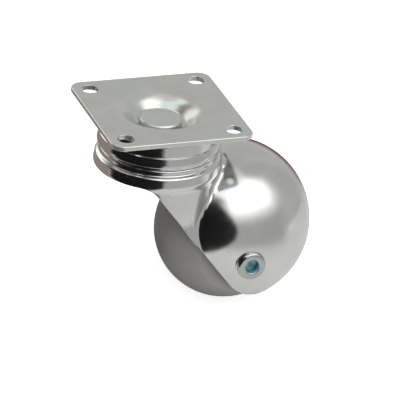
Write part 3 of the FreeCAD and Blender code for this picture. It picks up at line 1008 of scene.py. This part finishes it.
@dataclass
class Hood:
    """Pressed hood: beaded drum, neck and dome in one sheet with a sloping open rim."""

    wall: float = 1.2
    deck: float = -11.3
    deck_hole: float = 4.7
    deck_edge: float = 16.9
    deck_edge_bend: float = 0.5
    ledge_drop: float = 1.5
    ledge_bend: float = 0.5
    shoulder: float = 18.0
    shoulder_drop: float = 2.2
    shoulder_bend: float = 1.0
    bead: float = 18.35
    bead_drop: float = 4.9
    bead_bend: float = 2.0
    neck: float = 17.9
    neck_drop: float = 6.6
    neck_bend: float = 3.0
    flare_drop: float = 18.2
    flare_gain: float = 3.5
    flare_bend: float = 8.0
    dome: float = 23.6
    dome_x: float = 23.2
    dome_z: float = -37.0
    crease_round: float = 1.5
    wrinkle_height: float = 0.40
    wrinkle_lengths: tuple[float, ...] = (7.3, 4.6, 2.9)
    trail: float = TRAIL
    axle_level: float = AXLE_LEVEL
    rim_angle: float = 51.5
    rim_offset: float = 8.4
    rim_front_bend: float = 7.0
    rim_foot_bend: float = 17.7
    front_edge: float = -16.5
    foot: float = -54.6
    seat: float = AXLE_SEAT
    axle_hole: float = 3.5
    pad_radius: float = 4.6
    pad_round: float = 0.4
    pad_depth: float = 1.6
    edge_round: float = 0.28
    edge_segments: int = 3
    edge_corner: float = 50.0
    column_lean: float = 0.05
    lean_power: int = 4
    row_crowding: float = 1.5
    section_steps: int = 24
    section_samples: int = 900
    crease_samples: int = 1500
    crease_end_margin: float = 1.0
    outline_steps: int = 48
    outline_samples: int = 4000
    pad_steps: int = 96
    crease_columns: int = 80
    front_columns: int = 101
    drum_rows: int = 56
    ring_rows: int = 20
    deck_rows: int = 5
    fillet_rows: int = 9
    rim_columns: int = 80
    dome_rows: int = 52

    def dome_centre(self) -> np.ndarray:
        """Middle of the dome's sphere."""
        return np.array([self.dome_x, 0.0, self.dome_z])

    def drum_line(self) -> np.ndarray:
        """Half section of the drum and neck, from the deck hole outwards and down, in small even steps.

        Returns:
            Radius and level of each point.
        """
        line = rounded_line([
            (self.deck_hole, self.deck),
            (self.deck_edge, self.deck, self.deck_edge_bend),
            (self.deck_edge, self.deck - self.ledge_drop, self.ledge_bend),
            (self.shoulder, self.deck - self.shoulder_drop, self.shoulder_bend),
            (self.bead, self.deck - self.bead_drop, self.bead_bend),
            (self.neck, self.deck - self.neck_drop, self.neck_bend),
            (self.neck, self.deck - self.flare_drop, self.flare_bend),
            (self.neck + self.flare_gain, self.axle_level),
        ], steps=self.section_steps)
        return resample(line, self.section_samples)

    def rim_line(self) -> np.ndarray:
        """Side outline of the opening: the drum's front edge, the slope and the foot.

        Returns:
            Points in X and Z.
        """
        slope = math.radians(self.rim_angle)

        def slope_x(level: float) -> float:
            """Where the slope crosses a level."""
            reach = self.rim_offset + (level - self.axle_level) * math.cos(slope)
            return self.trail - reach / math.sin(slope)

        return rounded_line([
            (-2 * self.bead, self.front_edge),
            (slope_x(self.front_edge), self.front_edge, self.rim_front_bend),
            (slope_x(self.foot), self.foot, self.rim_foot_bend),
            (self.dome_x + 2 * self.dome, self.foot),
        ], steps=self.outline_steps)

    def above_rim(self, x: np.ndarray, z: np.ndarray) -> np.ndarray:
        """Height of points above the rim's outline, which is below zero where they are cut away."""
        outline = self.rim_line()
        return z - np.interp(x, outline[:, 0], outline[:, 1])

    @staticmethod
    def first_fall(places: np.ndarray, heights: np.ndarray) -> np.ndarray:
        """Where each row of heights first falls through zero, between samples by proportion.

        Args:
            places: Place of every sample.
            heights: Rows of heights at those places.

        Returns:
            One place for each row.
        """
        after = np.argmax(heights < 0, axis=1)
        rows = np.arange(len(heights))
        high, low = heights[rows, after - 1], heights[rows, after]
        return places[after - 1] + (places[after] - places[after - 1]) * high / (high - low)

    def crease(self, line: np.ndarray, along: np.ndarray, places: np.ndarray,
               shares: np.ndarray) -> np.ndarray:
        """Points of the fillet between drum and dome on the far side.

        A ball of the fillet's radius rolls in the groove: its centre is the drum's section moved out by that
        radius, turned to the angle at which it is the dome's radius plus its own away from the dome's centre.
        The fillet turns about that centre from the drum's contact to the dome's.

        Args:
            line: The drum's section.
            along: Distance along it for each of its points.
            places: Distances along the section, in rows that match the shares.
            shares: Share of the way from drum to dome for each row.

        Returns:
            Rows by columns by three coordinates.
        """
        tangent = unit(np.gradient(line, axis=0))
        normal = np.stack([-tangent[:, 1], tangent[:, 0]], axis=1)
        radius, level, out, up = (np.interp(places, along, column) for column in (*line.T, *normal.T))
        centre_radius = radius + self.crease_round * out
        centre_level = level + self.crease_round * up
        reach = self.dome + self.crease_round
        span = centre_radius**2 + self.dome_x**2 + (centre_level - self.dome_z)**2 - reach**2
        cosine = np.clip(span / (2 * centre_radius * self.dome_x), -1.0, 1.0)
        sine = np.sqrt(1 - cosine**2)
        centre = np.stack([centre_radius * cosine, centre_radius * sine, centre_level], axis=-1)
        to_drum = -self.crease_round * np.stack([out * cosine, out * sine, up], axis=-1)
        to_dome = (self.dome_centre() - centre) * self.crease_round / reach
        angle = np.arccos(np.sum(to_drum * to_dome, axis=-1, keepdims=True) / self.crease_round**2)
        share = shares[:, None, None]
        turned = np.sin((1 - share) * angle) * to_drum + np.sin(share * angle) * to_dome
        return centre + turned / np.sin(angle)

    def crease_strip(self, line: np.ndarray, along: np.ndarray) -> tuple[np.ndarray, np.ndarray]:
        """The far half of the fillet, from the middle plane down to the rim.

        Places along the section grow with the square of the column's share, which spreads the columns evenly
        where the crease crosses the middle plane.

        Args:
            line: The drum's section.
            along: Distance along it for each of its points.

        Returns:
            The fillet's points, and the places along the section of its first row.
        """
        shares = np.linspace(0, 1, self.fillet_rows)
        start = self.crease_start(line, along)
        probe = np.linspace(start, along[-1] - self.crease_end_margin, self.crease_samples)
        points = self.crease(line, along, np.tile(probe, (self.fillet_rows, 1)), shares)
        ends = self.first_fall(probe, self.above_rim(points[..., 0], points[..., 2]))
        steps = np.linspace(0, 1, self.crease_columns)**2
        places = start + (ends[:, None] - start) * steps[None]
        strip = self.crease(line, along, places, shares)
        strip[:, 0, 1] = 0.0
        return strip + self.wrinkles(strip, shares), places[0]

    def wrinkles(self, strip: np.ndarray, shares: np.ndarray) -> np.ndarray:
        """Small folds across the fillet, where the sheet bunched up as it was drawn.

        The height is a sum of sines of the length along the crease, times the square of sin(pi t) for the
        share t across the fillet, so that both edges stay in place. It fades towards the rim, and it points
        away from the dome's centre.

        Args:
            strip: The far half of the fillet.
            shares: Share of the way from drum to dome for each row.

        Returns:
            What to add to each point.
        """
        length = lengths_along(strip[len(strip) // 2])
        waves = sum(np.sin(FULL_TURN * length / step + step) for step in self.wrinkle_lengths)
        fade = 1 - length / length[-1]
        across = np.sin(math.pi * shares)**2
        height = self.wrinkle_height * across[:, None] * (waves * fade / len(self.wrinkle_lengths))[None]
        return height[..., None] * unit(strip - self.dome_centre())

    def crease_start(self, line: np.ndarray, along: np.ndarray) -> float:
        """Place below the raised ring at which the rolling ball touches the dome in the middle plane.

        Args:
            line: The drum's section.
            along: Distance along it for each of its points.

        Returns:
            The distance along the section.
        """
        tangent = unit(np.gradient(line, axis=0))
        centre = line + self.crease_round * np.stack([-tangent[:, 1], tangent[:, 0]], axis=1)
        gap = np.hypot(centre[:, 0] - self.dome_x, centre[:, 1] - self.dome_z) - self.dome - self.crease_round
        on_ring = line[:, 1] > self.deck - self.ledge_drop
        return float(self.first_fall(along, np.where(on_ring, 1.0, gap)[None])[0])

    def drum_patch(self, line: np.ndarray, along: np.ndarray, strip: np.ndarray,
                   strip_ends: np.ndarray) -> Patch:
        """Drum and neck: the section turned about the swivel axis, each column cut at the crease or the rim.

        Columns that end on the crease lean over to it, because near the rim the crease turns back on itself.
        Rows stand on fixed places down to the foot of the raised ring, and below it at growing shares of the
        way on.

        Args:
            line: The drum's section.
            along: Distance along it for each of its points.
            strip: The far half of the fillet.
            strip_ends: Places at which the fillet leaves the section.

        Returns:
            The patch.
        """
        crease_angles = np.arctan2(strip[0, :, 1], strip[0, :, 0])
        lean = self.column_lean * np.linspace(0, 1, self.crease_columns)
        top_angles = np.maximum.accumulate(crease_angles) + lean
        front_angles = np.linspace(top_angles[-1], FULL_TURN - top_angles[-1], self.front_columns)[1:-1]
        levels = np.broadcast_to(line[:, 1], (len(front_angles), len(line)))
        heights = self.above_rim(line[:, 0] * np.cos(front_angles)[:, None], levels)
        front_ends = self.first_fall(along, heights)
        tops = np.concatenate([top_angles, front_angles, FULL_TURN - top_angles[:0:-1]])
        feet = np.concatenate([crease_angles, front_angles, FULL_TURN - crease_angles[:0:-1]])
        ends = np.concatenate([strip_ends, front_ends, strip_ends[:0:-1]])
        deck_reach = self.deck_edge - self.deck_hole - 2 * self.deck_edge_bend
        ring_reach = deck_reach + 2 * self.deck_edge_bend + self.ledge_drop
        fixed = np.concatenate([np.linspace(0, deck_reach, self.deck_rows)[:-1],
                                np.linspace(deck_reach, ring_reach, self.ring_rows)])
        fixed_places = np.broadcast_to(fixed[:, None], (len(fixed), len(ends)))
        shares = np.linspace(0, 1, self.drum_rows)[1:, None]**self.row_crowding
        places = np.concatenate([fixed_places, ring_reach + shares * (ends - ring_reach)])
        leaning = tops + shares**self.lean_power * (feet - tops)
        angles = np.concatenate([np.broadcast_to(tops, fixed_places.shape), leaning])
        radius = np.interp(places, along, line[:, 0])
        level = np.interp(places, along, line[:, 1])
        points = np.stack([radius * np.cos(angles), radius * np.sin(angles), level], axis=-1)
        return Patch(points, ring=True, flip=True)

    def dome_patch(self, strip: np.ndarray) -> Patch:
        """Dome: great circles from the dome's back out to the crease and the rim.

        A point is the dome's centre plus its radius times a direction, which turns evenly from +X to the
        edge's own direction.

        Args:
            strip: The far half of the fillet.

        Returns:
            The patch.
        """
        middle = self.dome_centre()
        crease_edge = strip[-1]
        back = self.dome_x + math.sqrt(self.dome**2 - (self.foot - self.dome_z)**2)
        shares = 1 - (1 - np.linspace(0, 1, self.outline_samples))**2
        x = crease_edge[-1, 0] + (back - crease_edge[-1, 0]) * shares
        outline = self.rim_line()
        z = np.interp(x, outline[:, 0], outline[:, 1])
        y = np.sqrt(np.clip(self.dome**2 - (x - self.dome_x)**2 - (z - self.dome_z)**2, 0.0, None))
        y[-1] = 0.0
        rim_edge = resample(np.stack([x, y, z], axis=1), self.rim_columns)
        far_edge = np.concatenate([crease_edge, rim_edge[1:]])
        edge = np.concatenate([far_edge, far_edge[-2:0:-1] * MIRROR])
        to_edge = unit(edge - middle)
        pole = np.broadcast_to(np.array([1.0, 0.0, 0.0]), to_edge.shape)
        turned = turn_between(pole, to_edge, np.linspace(0, 1, self.dome_rows))
        return Patch(middle + self.dome * turned, ring=True)

    def pad_patches(self) -> list[Patch]:
        """Pads under the two ends of the axle rivet, turned about the axle's line.

        Returns:
            The near pad and the far one.
        """
        section = rounded_line([
            (self.axle_hole, self.seat),
            (self.pad_radius, self.seat, self.pad_round),
            (self.pad_radius, self.seat - self.pad_depth),
        ])
        near = lathe(section[::-1], Axis.AXLE, (self.trail, 0.0, self.axle_level), self.pad_steps)
        far = Patch(near.points * MIRROR, ring=True, flip=True)
        return [near, far]

    def open_axle_holes(self, mesh: bpy.types.Mesh) -> None:
        """Takes out the faces that the axle rivet passes through; its ring and head cover their edges.

        Args:
            mesh: The hood's sheet.
        """
        work = bmesh.new()
        work.from_mesh(mesh)
        line = Vector((self.trail, 0.0, self.axle_level)) * METRES
        pierced = []
        for face in work.faces:
            away = face.calc_center_median() - line
            if math.hypot(away.x, away.z) < self.axle_hole * METRES and abs(away.y) > self.dome / 2 * METRES:
                pierced.append(face)
        bmesh.ops.delete(work, geom=pierced, context="FACES")
        work.to_mesh(mesh)
        work.free()

    def build(self, shop: Workshop) -> bpy.types.Object:
        """The hood: drum, fillet and dome joined in one sheet, which then gets its wall and a rounded rim.

        Args:
            shop: Where pieces are made.

        Returns:
            The piece.
        """
        line = self.drum_line()
        along = lengths_along(line)
        strip, strip_ends = self.crease_strip(line, along)
        fillet = Patch(np.concatenate([strip[:, ::-1] * MIRROR, strip[:, 1:]], axis=1), flip=True)
        drum = self.drum_patch(line, along, strip, strip_ends)
        patches = [drum, fillet, self.dome_patch(strip), *self.pad_patches()]
        thing = shop.piece("hood_pressing", patches, Body.HOOD, "chrome_hood", ["hood"])
        self.open_axle_holes(thing.data)
        solid = thing.modifiers.new("sheet_wall", "SOLIDIFY")
        solid.thickness = self.wall * METRES
        solid.offset = -1.0
        solid.use_even_offset = False
        bevel = thing.modifiers.new("rounded_rim", "BEVEL")
        bevel.width = self.edge_round * METRES
        bevel.segments = self.edge_segments
        bevel.limit_method = "ANGLE"
        bevel.angle_limit = math.radians(self.edge_corner)
        return thing


@dataclass
class Wheel:
    """Ball wheel and the axle rivet that carries it."""

    trail: float = TRAIL
    axle_level: float = AXLE_LEVEL
    radius: float = 20.0
    half_width: float = 15.6
    edge_round: float = 0.6
    hub_radius: float = 6.5
    hub_face: float = 19.55
    hub_round: float = 0.5
    bore: float = 4.12
    bore_round: float = 0.2
    seat: float = AXLE_SEAT
    shank: float = 3.0
    ring_radius: float = 4.25
    ring_height: float = 1.5
    ring_round: float = 0.9
    hollow: float = 2.0
    hollow_depth: float = 2.4
    hollow_cone: float = 1.0
    hollow_round: float = 0.3
    lip_break: float = 0.5
    head_radius: float = 4.8
    head_height: float = 1.4
    head_round: float = 1.2
    tread_steps: int = 96
    wheel_steps: int = 160
    rivet_steps: int = 96

    def centre(self) -> Point:
        """Middle of the axle."""
        return self.trail, 0.0, self.axle_level

    def build_ball(self, shop: Workshop) -> bpy.types.Object:
        """The ball wheel: a sphere's zone with flat sides and a bored hub.

        The tread is the radius times (cos a, sin a) for slopes a between the two flats. It ends a third of
        the edge's rounding before each flat, and the shoulder point beside it eases it over to the flat.

        Args:
            shop: Where pieces are made.

        Returns:
            The piece.
        """
        limit = math.asin((self.half_width - self.edge_round / 3) / self.radius)
        slopes = np.linspace(-limit, limit, self.tread_steps)
        tread = self.radius * np.stack([np.cos(slopes), np.sin(slopes)], axis=1)
        side = rounded_line([
            (self.bore, 0.0),
            (self.bore, self.hub_face, self.bore_round),
            (self.hub_radius, self.hub_face, self.hub_round),
            (self.hub_radius, self.half_width, self.hub_round),
            (math.sqrt(self.radius**2 - self.half_width**2), self.half_width),
        ])[1:-1]
        shoulder = tread[-1] - np.array([self.edge_round / 2, -self.edge_round / 5])
        near_side = np.concatenate([side, shoulder[None]])
        far_side = near_side * np.array([1.0, -1.0])
        section = np.concatenate([near_side, tread[::-1], far_side[::-1], near_side[:1]])
        turned = lathe(section[::-1], Axis.AXLE, self.centre(), self.wheel_steps)
        thing = shop.piece("ball", [turned], Body.WHEEL, "grey_wheel", ["ball_wheel"])
        keep_flats(thing)
        return thing

    def build_rivet(self, shop: Workshop) -> bpy.types.Object:
        """The axle rivet: a rolled ring with a blind hollow at the near end and a formed head at the far one.

        Args:
            shop: Where pieces are made.

        Returns:
            The piece.
        """
        ring_top = self.seat + self.ring_height
        head_top = -self.seat - self.head_height
        hollow_end = ring_top - self.hollow_depth
        section = rounded_line([
            (0.0, hollow_end - self.hollow_cone),
            (self.hollow, hollow_end, self.hollow_round),
            (self.hollow, ring_top, self.lip_break),
            (self.ring_radius, ring_top, self.ring_round),
            (self.ring_radius, self.seat),
            (self.shank, self.seat),
            (self.shank, -self.seat),
            (self.head_radius, -self.seat),
            (self.head_radius, head_top, self.head_round),
            (0.0, head_top),
        ])
        turned = lathe(section[::-1], Axis.AXLE, self.centre(), self.rivet_steps)
        thing = shop.piece("axle", [turned], Body.HOOD, "zinc_axle", ["axle_rivet"])
        keep_flats(thing)
        return thing

    def build(self, shop: Workshop) -> None:
        """Builds the wheel and its rivet."""
        self.build_ball(shop)
        self.build_rivet(shop)


@dataclass
class PhotoCamera:
    """Camera at the photograph's angle: long lens, slightly rolled.

    Angles are degrees and lengths millimetres. The aim counts from the frame's origin, across the picture.
    """

    azimuth: float = -21.184
    elevation: float = 26.029
    roll: float = 4.758
    distance: float = 1200.0
    pixels_per_mm: float = 3.541
    aim_right: float = 10.88
    aim_down: float = 25.71
    clip_start: float = 10.0
    clip_end: float = 20000.0

    def build(self) -> bpy.types.Object:
        """Makes the camera and sets it as the scene's own.

        Returns:
            The camera.
        """
        azimuth = math.radians(self.azimuth)
        elevation = math.radians(self.elevation)
        roll = math.radians(self.roll)
        flat = math.cos(elevation)
        back = Vector((math.sin(azimuth) * flat, -math.cos(azimuth) * flat, math.sin(elevation)))
        level_right = Vector((math.cos(azimuth), math.sin(azimuth), 0))
        level_up = back.cross(level_right)
        right = level_right * math.cos(roll) + level_up * math.sin(roll)
        up = level_up * math.cos(roll) - level_right * math.sin(roll)
        spot = back * self.distance
        looks = (spot - right * self.aim_right + up * self.aim_down).normalized()
        side = up.cross(looks).normalized()
        upright = looks.cross(side)
        data = bpy.data.cameras.new("photo_camera")
        data.sensor_width = SENSOR_WIDTH
        data.lens = self.pixels_per_mm * self.distance * SENSOR_WIDTH / IMAGE_SIDE
        data.clip_start = self.clip_start * METRES
        data.clip_end = self.clip_end * METRES
        camera = bpy.data.objects.new("photo_camera", data)
        turn = Matrix((side, upright, looks)).transposed().to_4x4()
        camera.matrix_world = Matrix.Translation(spot * METRES) @ turn
        bpy.context.scene.collection.objects.link(camera)
        bpy.context.scene.camera = camera
        return camera


@dataclass(frozen=True)
class Card:
    """A curved card round the castor that only bright metal mirrors.

    Azimuth counts from -Y towards +X and elevation from level upwards, both in degrees, as seen from the
    castor. The soft edge is in degrees too. A card that reaches down to the floor ends floor_lift over its
    distance above it, in millimetres, so that nearer cards lie above farther ones.
    """

    name: str
    azimuths: tuple[float, float]
    elevations: tuple[float, float]
    distance: float
    level: float
    edge: float = 8.0
    tint: Colour = (1.0, 1.0, 1.0)
    shape: CardShape = CardShape.PANEL
    steps: int = 64
    lens_power: float = 1.8
    floor_lift: float = 600.0

    def surface(self, depth: float) -> np.ndarray:
        """The card as a patch of a sphere: the distance times the direction of each azimuth and elevation.

        Directions that would pass under the floor end just above it.

        Args:
            depth: How far the floor lies below the sphere's middle.

        Returns:
            Rows by columns by three coordinates, from the sphere's middle.
        """
        drop = depth - self.floor_lift / self.distance
        azimuth = np.radians(np.linspace(*self.azimuths, self.steps))[None]
        elevation = np.radians(np.linspace(*self.elevations, self.steps))[:, None]
        flat = np.cos(elevation)
        height = np.broadcast_to(np.sin(elevation), (self.steps, self.steps))
        directions = np.stack([flat * np.sin(azimuth), -flat * np.cos(azimuth), height], axis=-1)
        to_floor = drop / np.clip(-height, drop / self.distance, None)
        return directions * to_floor[..., None]

    def shares(self) -> np.ndarray:
        """How much of the card is there: one inside, falling to nothing over the soft edge.

        With u and v running from -1 to 1 over the two angles, a lens is where |u|^p + |v|^p stays below one
        for the lens power p. The fall is 3 t^2 - 2 t^3 for the share t of the edge that is crossed.

        Returns:
            Rows by columns of shares.
        """
        if self.shape is CardShape.LENS:
            powers = np.abs(np.linspace(-1, 1, self.steps))**self.lens_power
            inside = 1 - (powers[:, None] + powers[None])**(1 / self.lens_power)
            half_width = (self.azimuths[1] - self.azimuths[0]) / 2
            rise = np.clip(inside * half_width / self.edge, 0.0, 1.0)
        else:
            rises = []
            for low, high in (self.elevations, self.azimuths):
                angles = np.linspace(low, high, self.steps)
                rises.append(np.clip(np.minimum(angles - low, high - angles) / self.edge, 0.0, 1.0))
            rise = rises[0][:, None] * rises[1][None]
        return rise * rise * (3 - 2 * rise)

    def material(self) -> bpy.types.Material:
        """An even glow that fades out with the card's own share.

        Returns:
            The finished material.
        """
        nodes = Nodes(self.name)
        share = nodes.add("ShaderNodeAttribute", attribute_name="share").outputs["Fac"]
        glow = nodes.add("ShaderNodeEmission", {"Color": (*self.tint, 1.0), "Strength": self.level})
        clear = nodes.add("ShaderNodeBsdfTransparent")
        return nodes.finish(nodes.blend(share, clear.outputs["BSDF"], glow.outputs["Emission"]))

    def build(self, centre: Point) -> bpy.types.Object:
        """Hangs the card.

        Args:
            centre: Middle of the sphere that the card lies on.

        Returns:
            The card.
        """
        patch = Patch(self.surface(centre[2] - FLOOR_LEVEL) + np.array(centre))
        mesh = bpy.data.meshes.new(self.name)
        mesh.from_pydata(patch.points.reshape(-1, 3) * METRES, [], patch.quads(0).tolist())
        attribute = mesh.attributes.new("share", "FLOAT", "POINT")
        attribute.data.foreach_set("value", self.shares().ravel().astype(np.float32))
        mesh.materials.append(self.material())
        card = bpy.data.objects.new(self.name, mesh)
        card.visible_camera = False
        card.visible_diffuse = False
        card.visible_shadow = False
        bpy.context.scene.collection.objects.link(card)
        return card


@dataclass(frozen=True)
class Lamp:
    """A soft square lamp, which mirrors show as a card instead.

    The spot and the side are millimetres, and the power is watts.
    """

    name: str
    spot: Point
    side: float
    power: float

    def build(self, aim: Point) -> bpy.types.Object:
        """Hangs the lamp.

        Args:
            aim: The point that it looks at.

        Returns:
            The lamp.
        """
        data = bpy.data.lights.new(self.name, "AREA")
        data.size = self.side * METRES
        data.energy = self.power
        lamp = bpy.data.objects.new(self.name, data)
        lamp.location = Vector(self.spot) * METRES
        lamp.rotation_euler = (Vector(self.spot) - Vector(aim)).to_track_quat("Z", "Y").to_euler()
        lamp.visible_glossy = False
        bpy.context.scene.collection.objects.link(lamp)
        return lamp


@dataclass
class Studio:
    """Pale floor, white surround, soft lamps and the cards that bright metal mirrors."""

    floor_half: float = 3000.0
    floor_light: Colour = (0.78, 0.78, 0.78)
    floor_dark: Colour = (0.75, 0.75, 0.75)
    floor_cloud_scale: float = 3.0
    floor_glow: float = 0.74
    soft_grey: float = 0.46
    aim: Point = (10.0, 0.0, -30.0)
    lamps: tuple[Lamp, ...] = (
        Lamp("key_lamp", (250.0, -450.0, 620.0), 450.0, 4.2),
        Lamp("fill_lamp", (60.0, -620.0, 40.0), 400.0, 3.2),
    )
    cards: tuple[Card, ...] = (
        Card("wall_front", (-30.0, 75.0), (-26.0, 44.0), 1500.0, 0.51, 18.0),
        Card("wall_right", (55.0, 125.0), (-6.0, 80.0), 1520.0, 0.56),
        Card("wall_back", (105.0, 215.0), (-14.0, 80.0), 1540.0, 0.61),
        Card("wall_left", (205.0, 345.0), (-10.0, 56.0), 1560.0, 0.24, tint=(1.0, 0.90, 0.86)),
        Card("left_sky", (205.0, 345.0), (44.0, 72.0), 1570.0, 1.50, tint=(0.88, 1.0, 1.02)),
        Card("ceiling", (-20.0, 380.0), (60.0, 98.0), 1580.0, 0.80),
        Card("warm_wall", (-178.0, -100.0), (-50.0, 14.0), 500.0, 0.36, 10.0, tint=(1.0, 0.84, 0.76)),
        Card("left_lamp", (-178.0, -122.0), (4.0, 42.0), 480.0, 1.60, 12.0, tint=(1.0, 0.98, 0.94)),
        Card("left_table", (-178.0, -96.0), (-66.0, -30.0), 320.0, 0.12, 10.0, tint=(1.0, 0.84, 0.78)),
        Card("red_table", (118.0, 178.0), (-38.0, 10.0), 400.0, 0.16, 20.0, tint=(1.0, 0.42, 0.40),
             shape=CardShape.LENS),
        Card("dark_card", (-112.0, -2.0), (-34.0, 48.0), 300.0, 0.012, 6.0, shape=CardShape.LENS),
        Card("soft_box", (-46.0, 92.0), (12.0, 92.0), 900.0, 2.3, 38.0),
    )

    def build_world(self) -> None:
        """White for the camera, for mirrors and through glass, a soft grey for the rest."""
        world = bpy.data.worlds.new("studio")
        bpy.context.scene.world = world
        world.use_nodes = True
        tree = world.node_tree
        back = tree.nodes["Background"]
        path = tree.nodes.new("ShaderNodeLightPath")
        seen = path.outputs["Is Camera Ray"]
        for ray in ("Is Glossy Ray", "Is Transmission Ray"):
            either = tree.nodes.new("ShaderNodeMath")
            either.operation = "MAXIMUM"
            tree.links.new(seen, either.inputs[0])
            tree.links.new(path.outputs[ray], either.inputs[1])
            seen = either.outputs["Value"]
        level = tree.nodes.new("ShaderNodeMapRange")
        level.inputs["To Min"].default_value = self.soft_grey
        level.inputs["To Max"].default_value = 1.0
        tree.links.new(seen, level.inputs["Value"])
        back.inputs["Color"].default_value = (1.0, 1.0, 1.0, 1.0)
        tree.links.new(level.outputs["Result"], back.inputs["Strength"])

    def floor_material(self) -> bpy.types.Material:
        """Pale floor that stays white in the picture, keeps the soft shadow and is clear from below.

        Mirrors show it as the lit floor that it is, so that bright metal keeps its edge against the white.

        Returns:
            The finished material.
        """
        nodes = Nodes("pale_floor")
        clouds = nodes.noise(nodes.place(), self.floor_cloud_scale)
        colour = nodes.ramp(clouds, [(0.3, self.floor_dark), (0.7, self.floor_light)])
        diffuse = nodes.add("ShaderNodeBsdfDiffuse", {"Color": colour}).outputs["BSDF"]
        path = nodes.add("ShaderNodeLightPath")
        strength = nodes.combine("MULTIPLY", path.outputs["Is Camera Ray"], self.floor_glow)
        white = {"Color": (1.0, 1.0, 1.0, 1.0), "Strength": strength}
        glow = nodes.add("ShaderNodeEmission", white).outputs["Emission"]
        both = nodes.add("ShaderNodeAddShader", {0: diffuse, 1: glow}).outputs["Shader"]
        under = nodes.add("ShaderNodeNewGeometry").outputs["Backfacing"]
        clear = nodes.add("ShaderNodeBsdfTransparent").outputs["BSDF"]
        return nodes.finish(nodes.blend(under, both, clear))

    def build_floor(self) -> bpy.types.Object:
        """A wide square under the wheel.

        Returns:
            The floor.
        """
        reach = self.floor_half
        corners = np.array([[-reach, -reach], [reach, -reach], [reach, reach], [-reach, reach]])
        points = np.column_stack([corners, np.full(4, FLOOR_LEVEL)])
        mesh = bpy.data.meshes.new("floor")
        mesh.from_pydata(points * METRES, [], [[0, 1, 2, 3]])
        mesh.materials.append(self.floor_material())
        floor = bpy.data.objects.new("floor", mesh)
        bpy.context.scene.collection.objects.link(floor)
        return floor

    def build(self) -> None:
        """Sets up the whole studio."""
        self.build_world()
        self.build_floor()
        for light in (*self.cards, *self.lamps):
            light.build(self.aim)
        bpy.context.scene.view_settings.view_transform = "Standard"


def main() -> None:
    """Builds the castor's pieces, then the studio and the camera."""
    logging.basicConfig(level=logging.INFO, format="%(name)s: %(message)s")
    shop = Workshop()
    shop.dress_slots()
    shop.dress_nodes()
    Swivel().build(shop)
    Hood().build(shop)
    Wheel().build(shop)
    Studio().build()
    PhotoCamera().build()


if __name__ == "__main__":
    main()
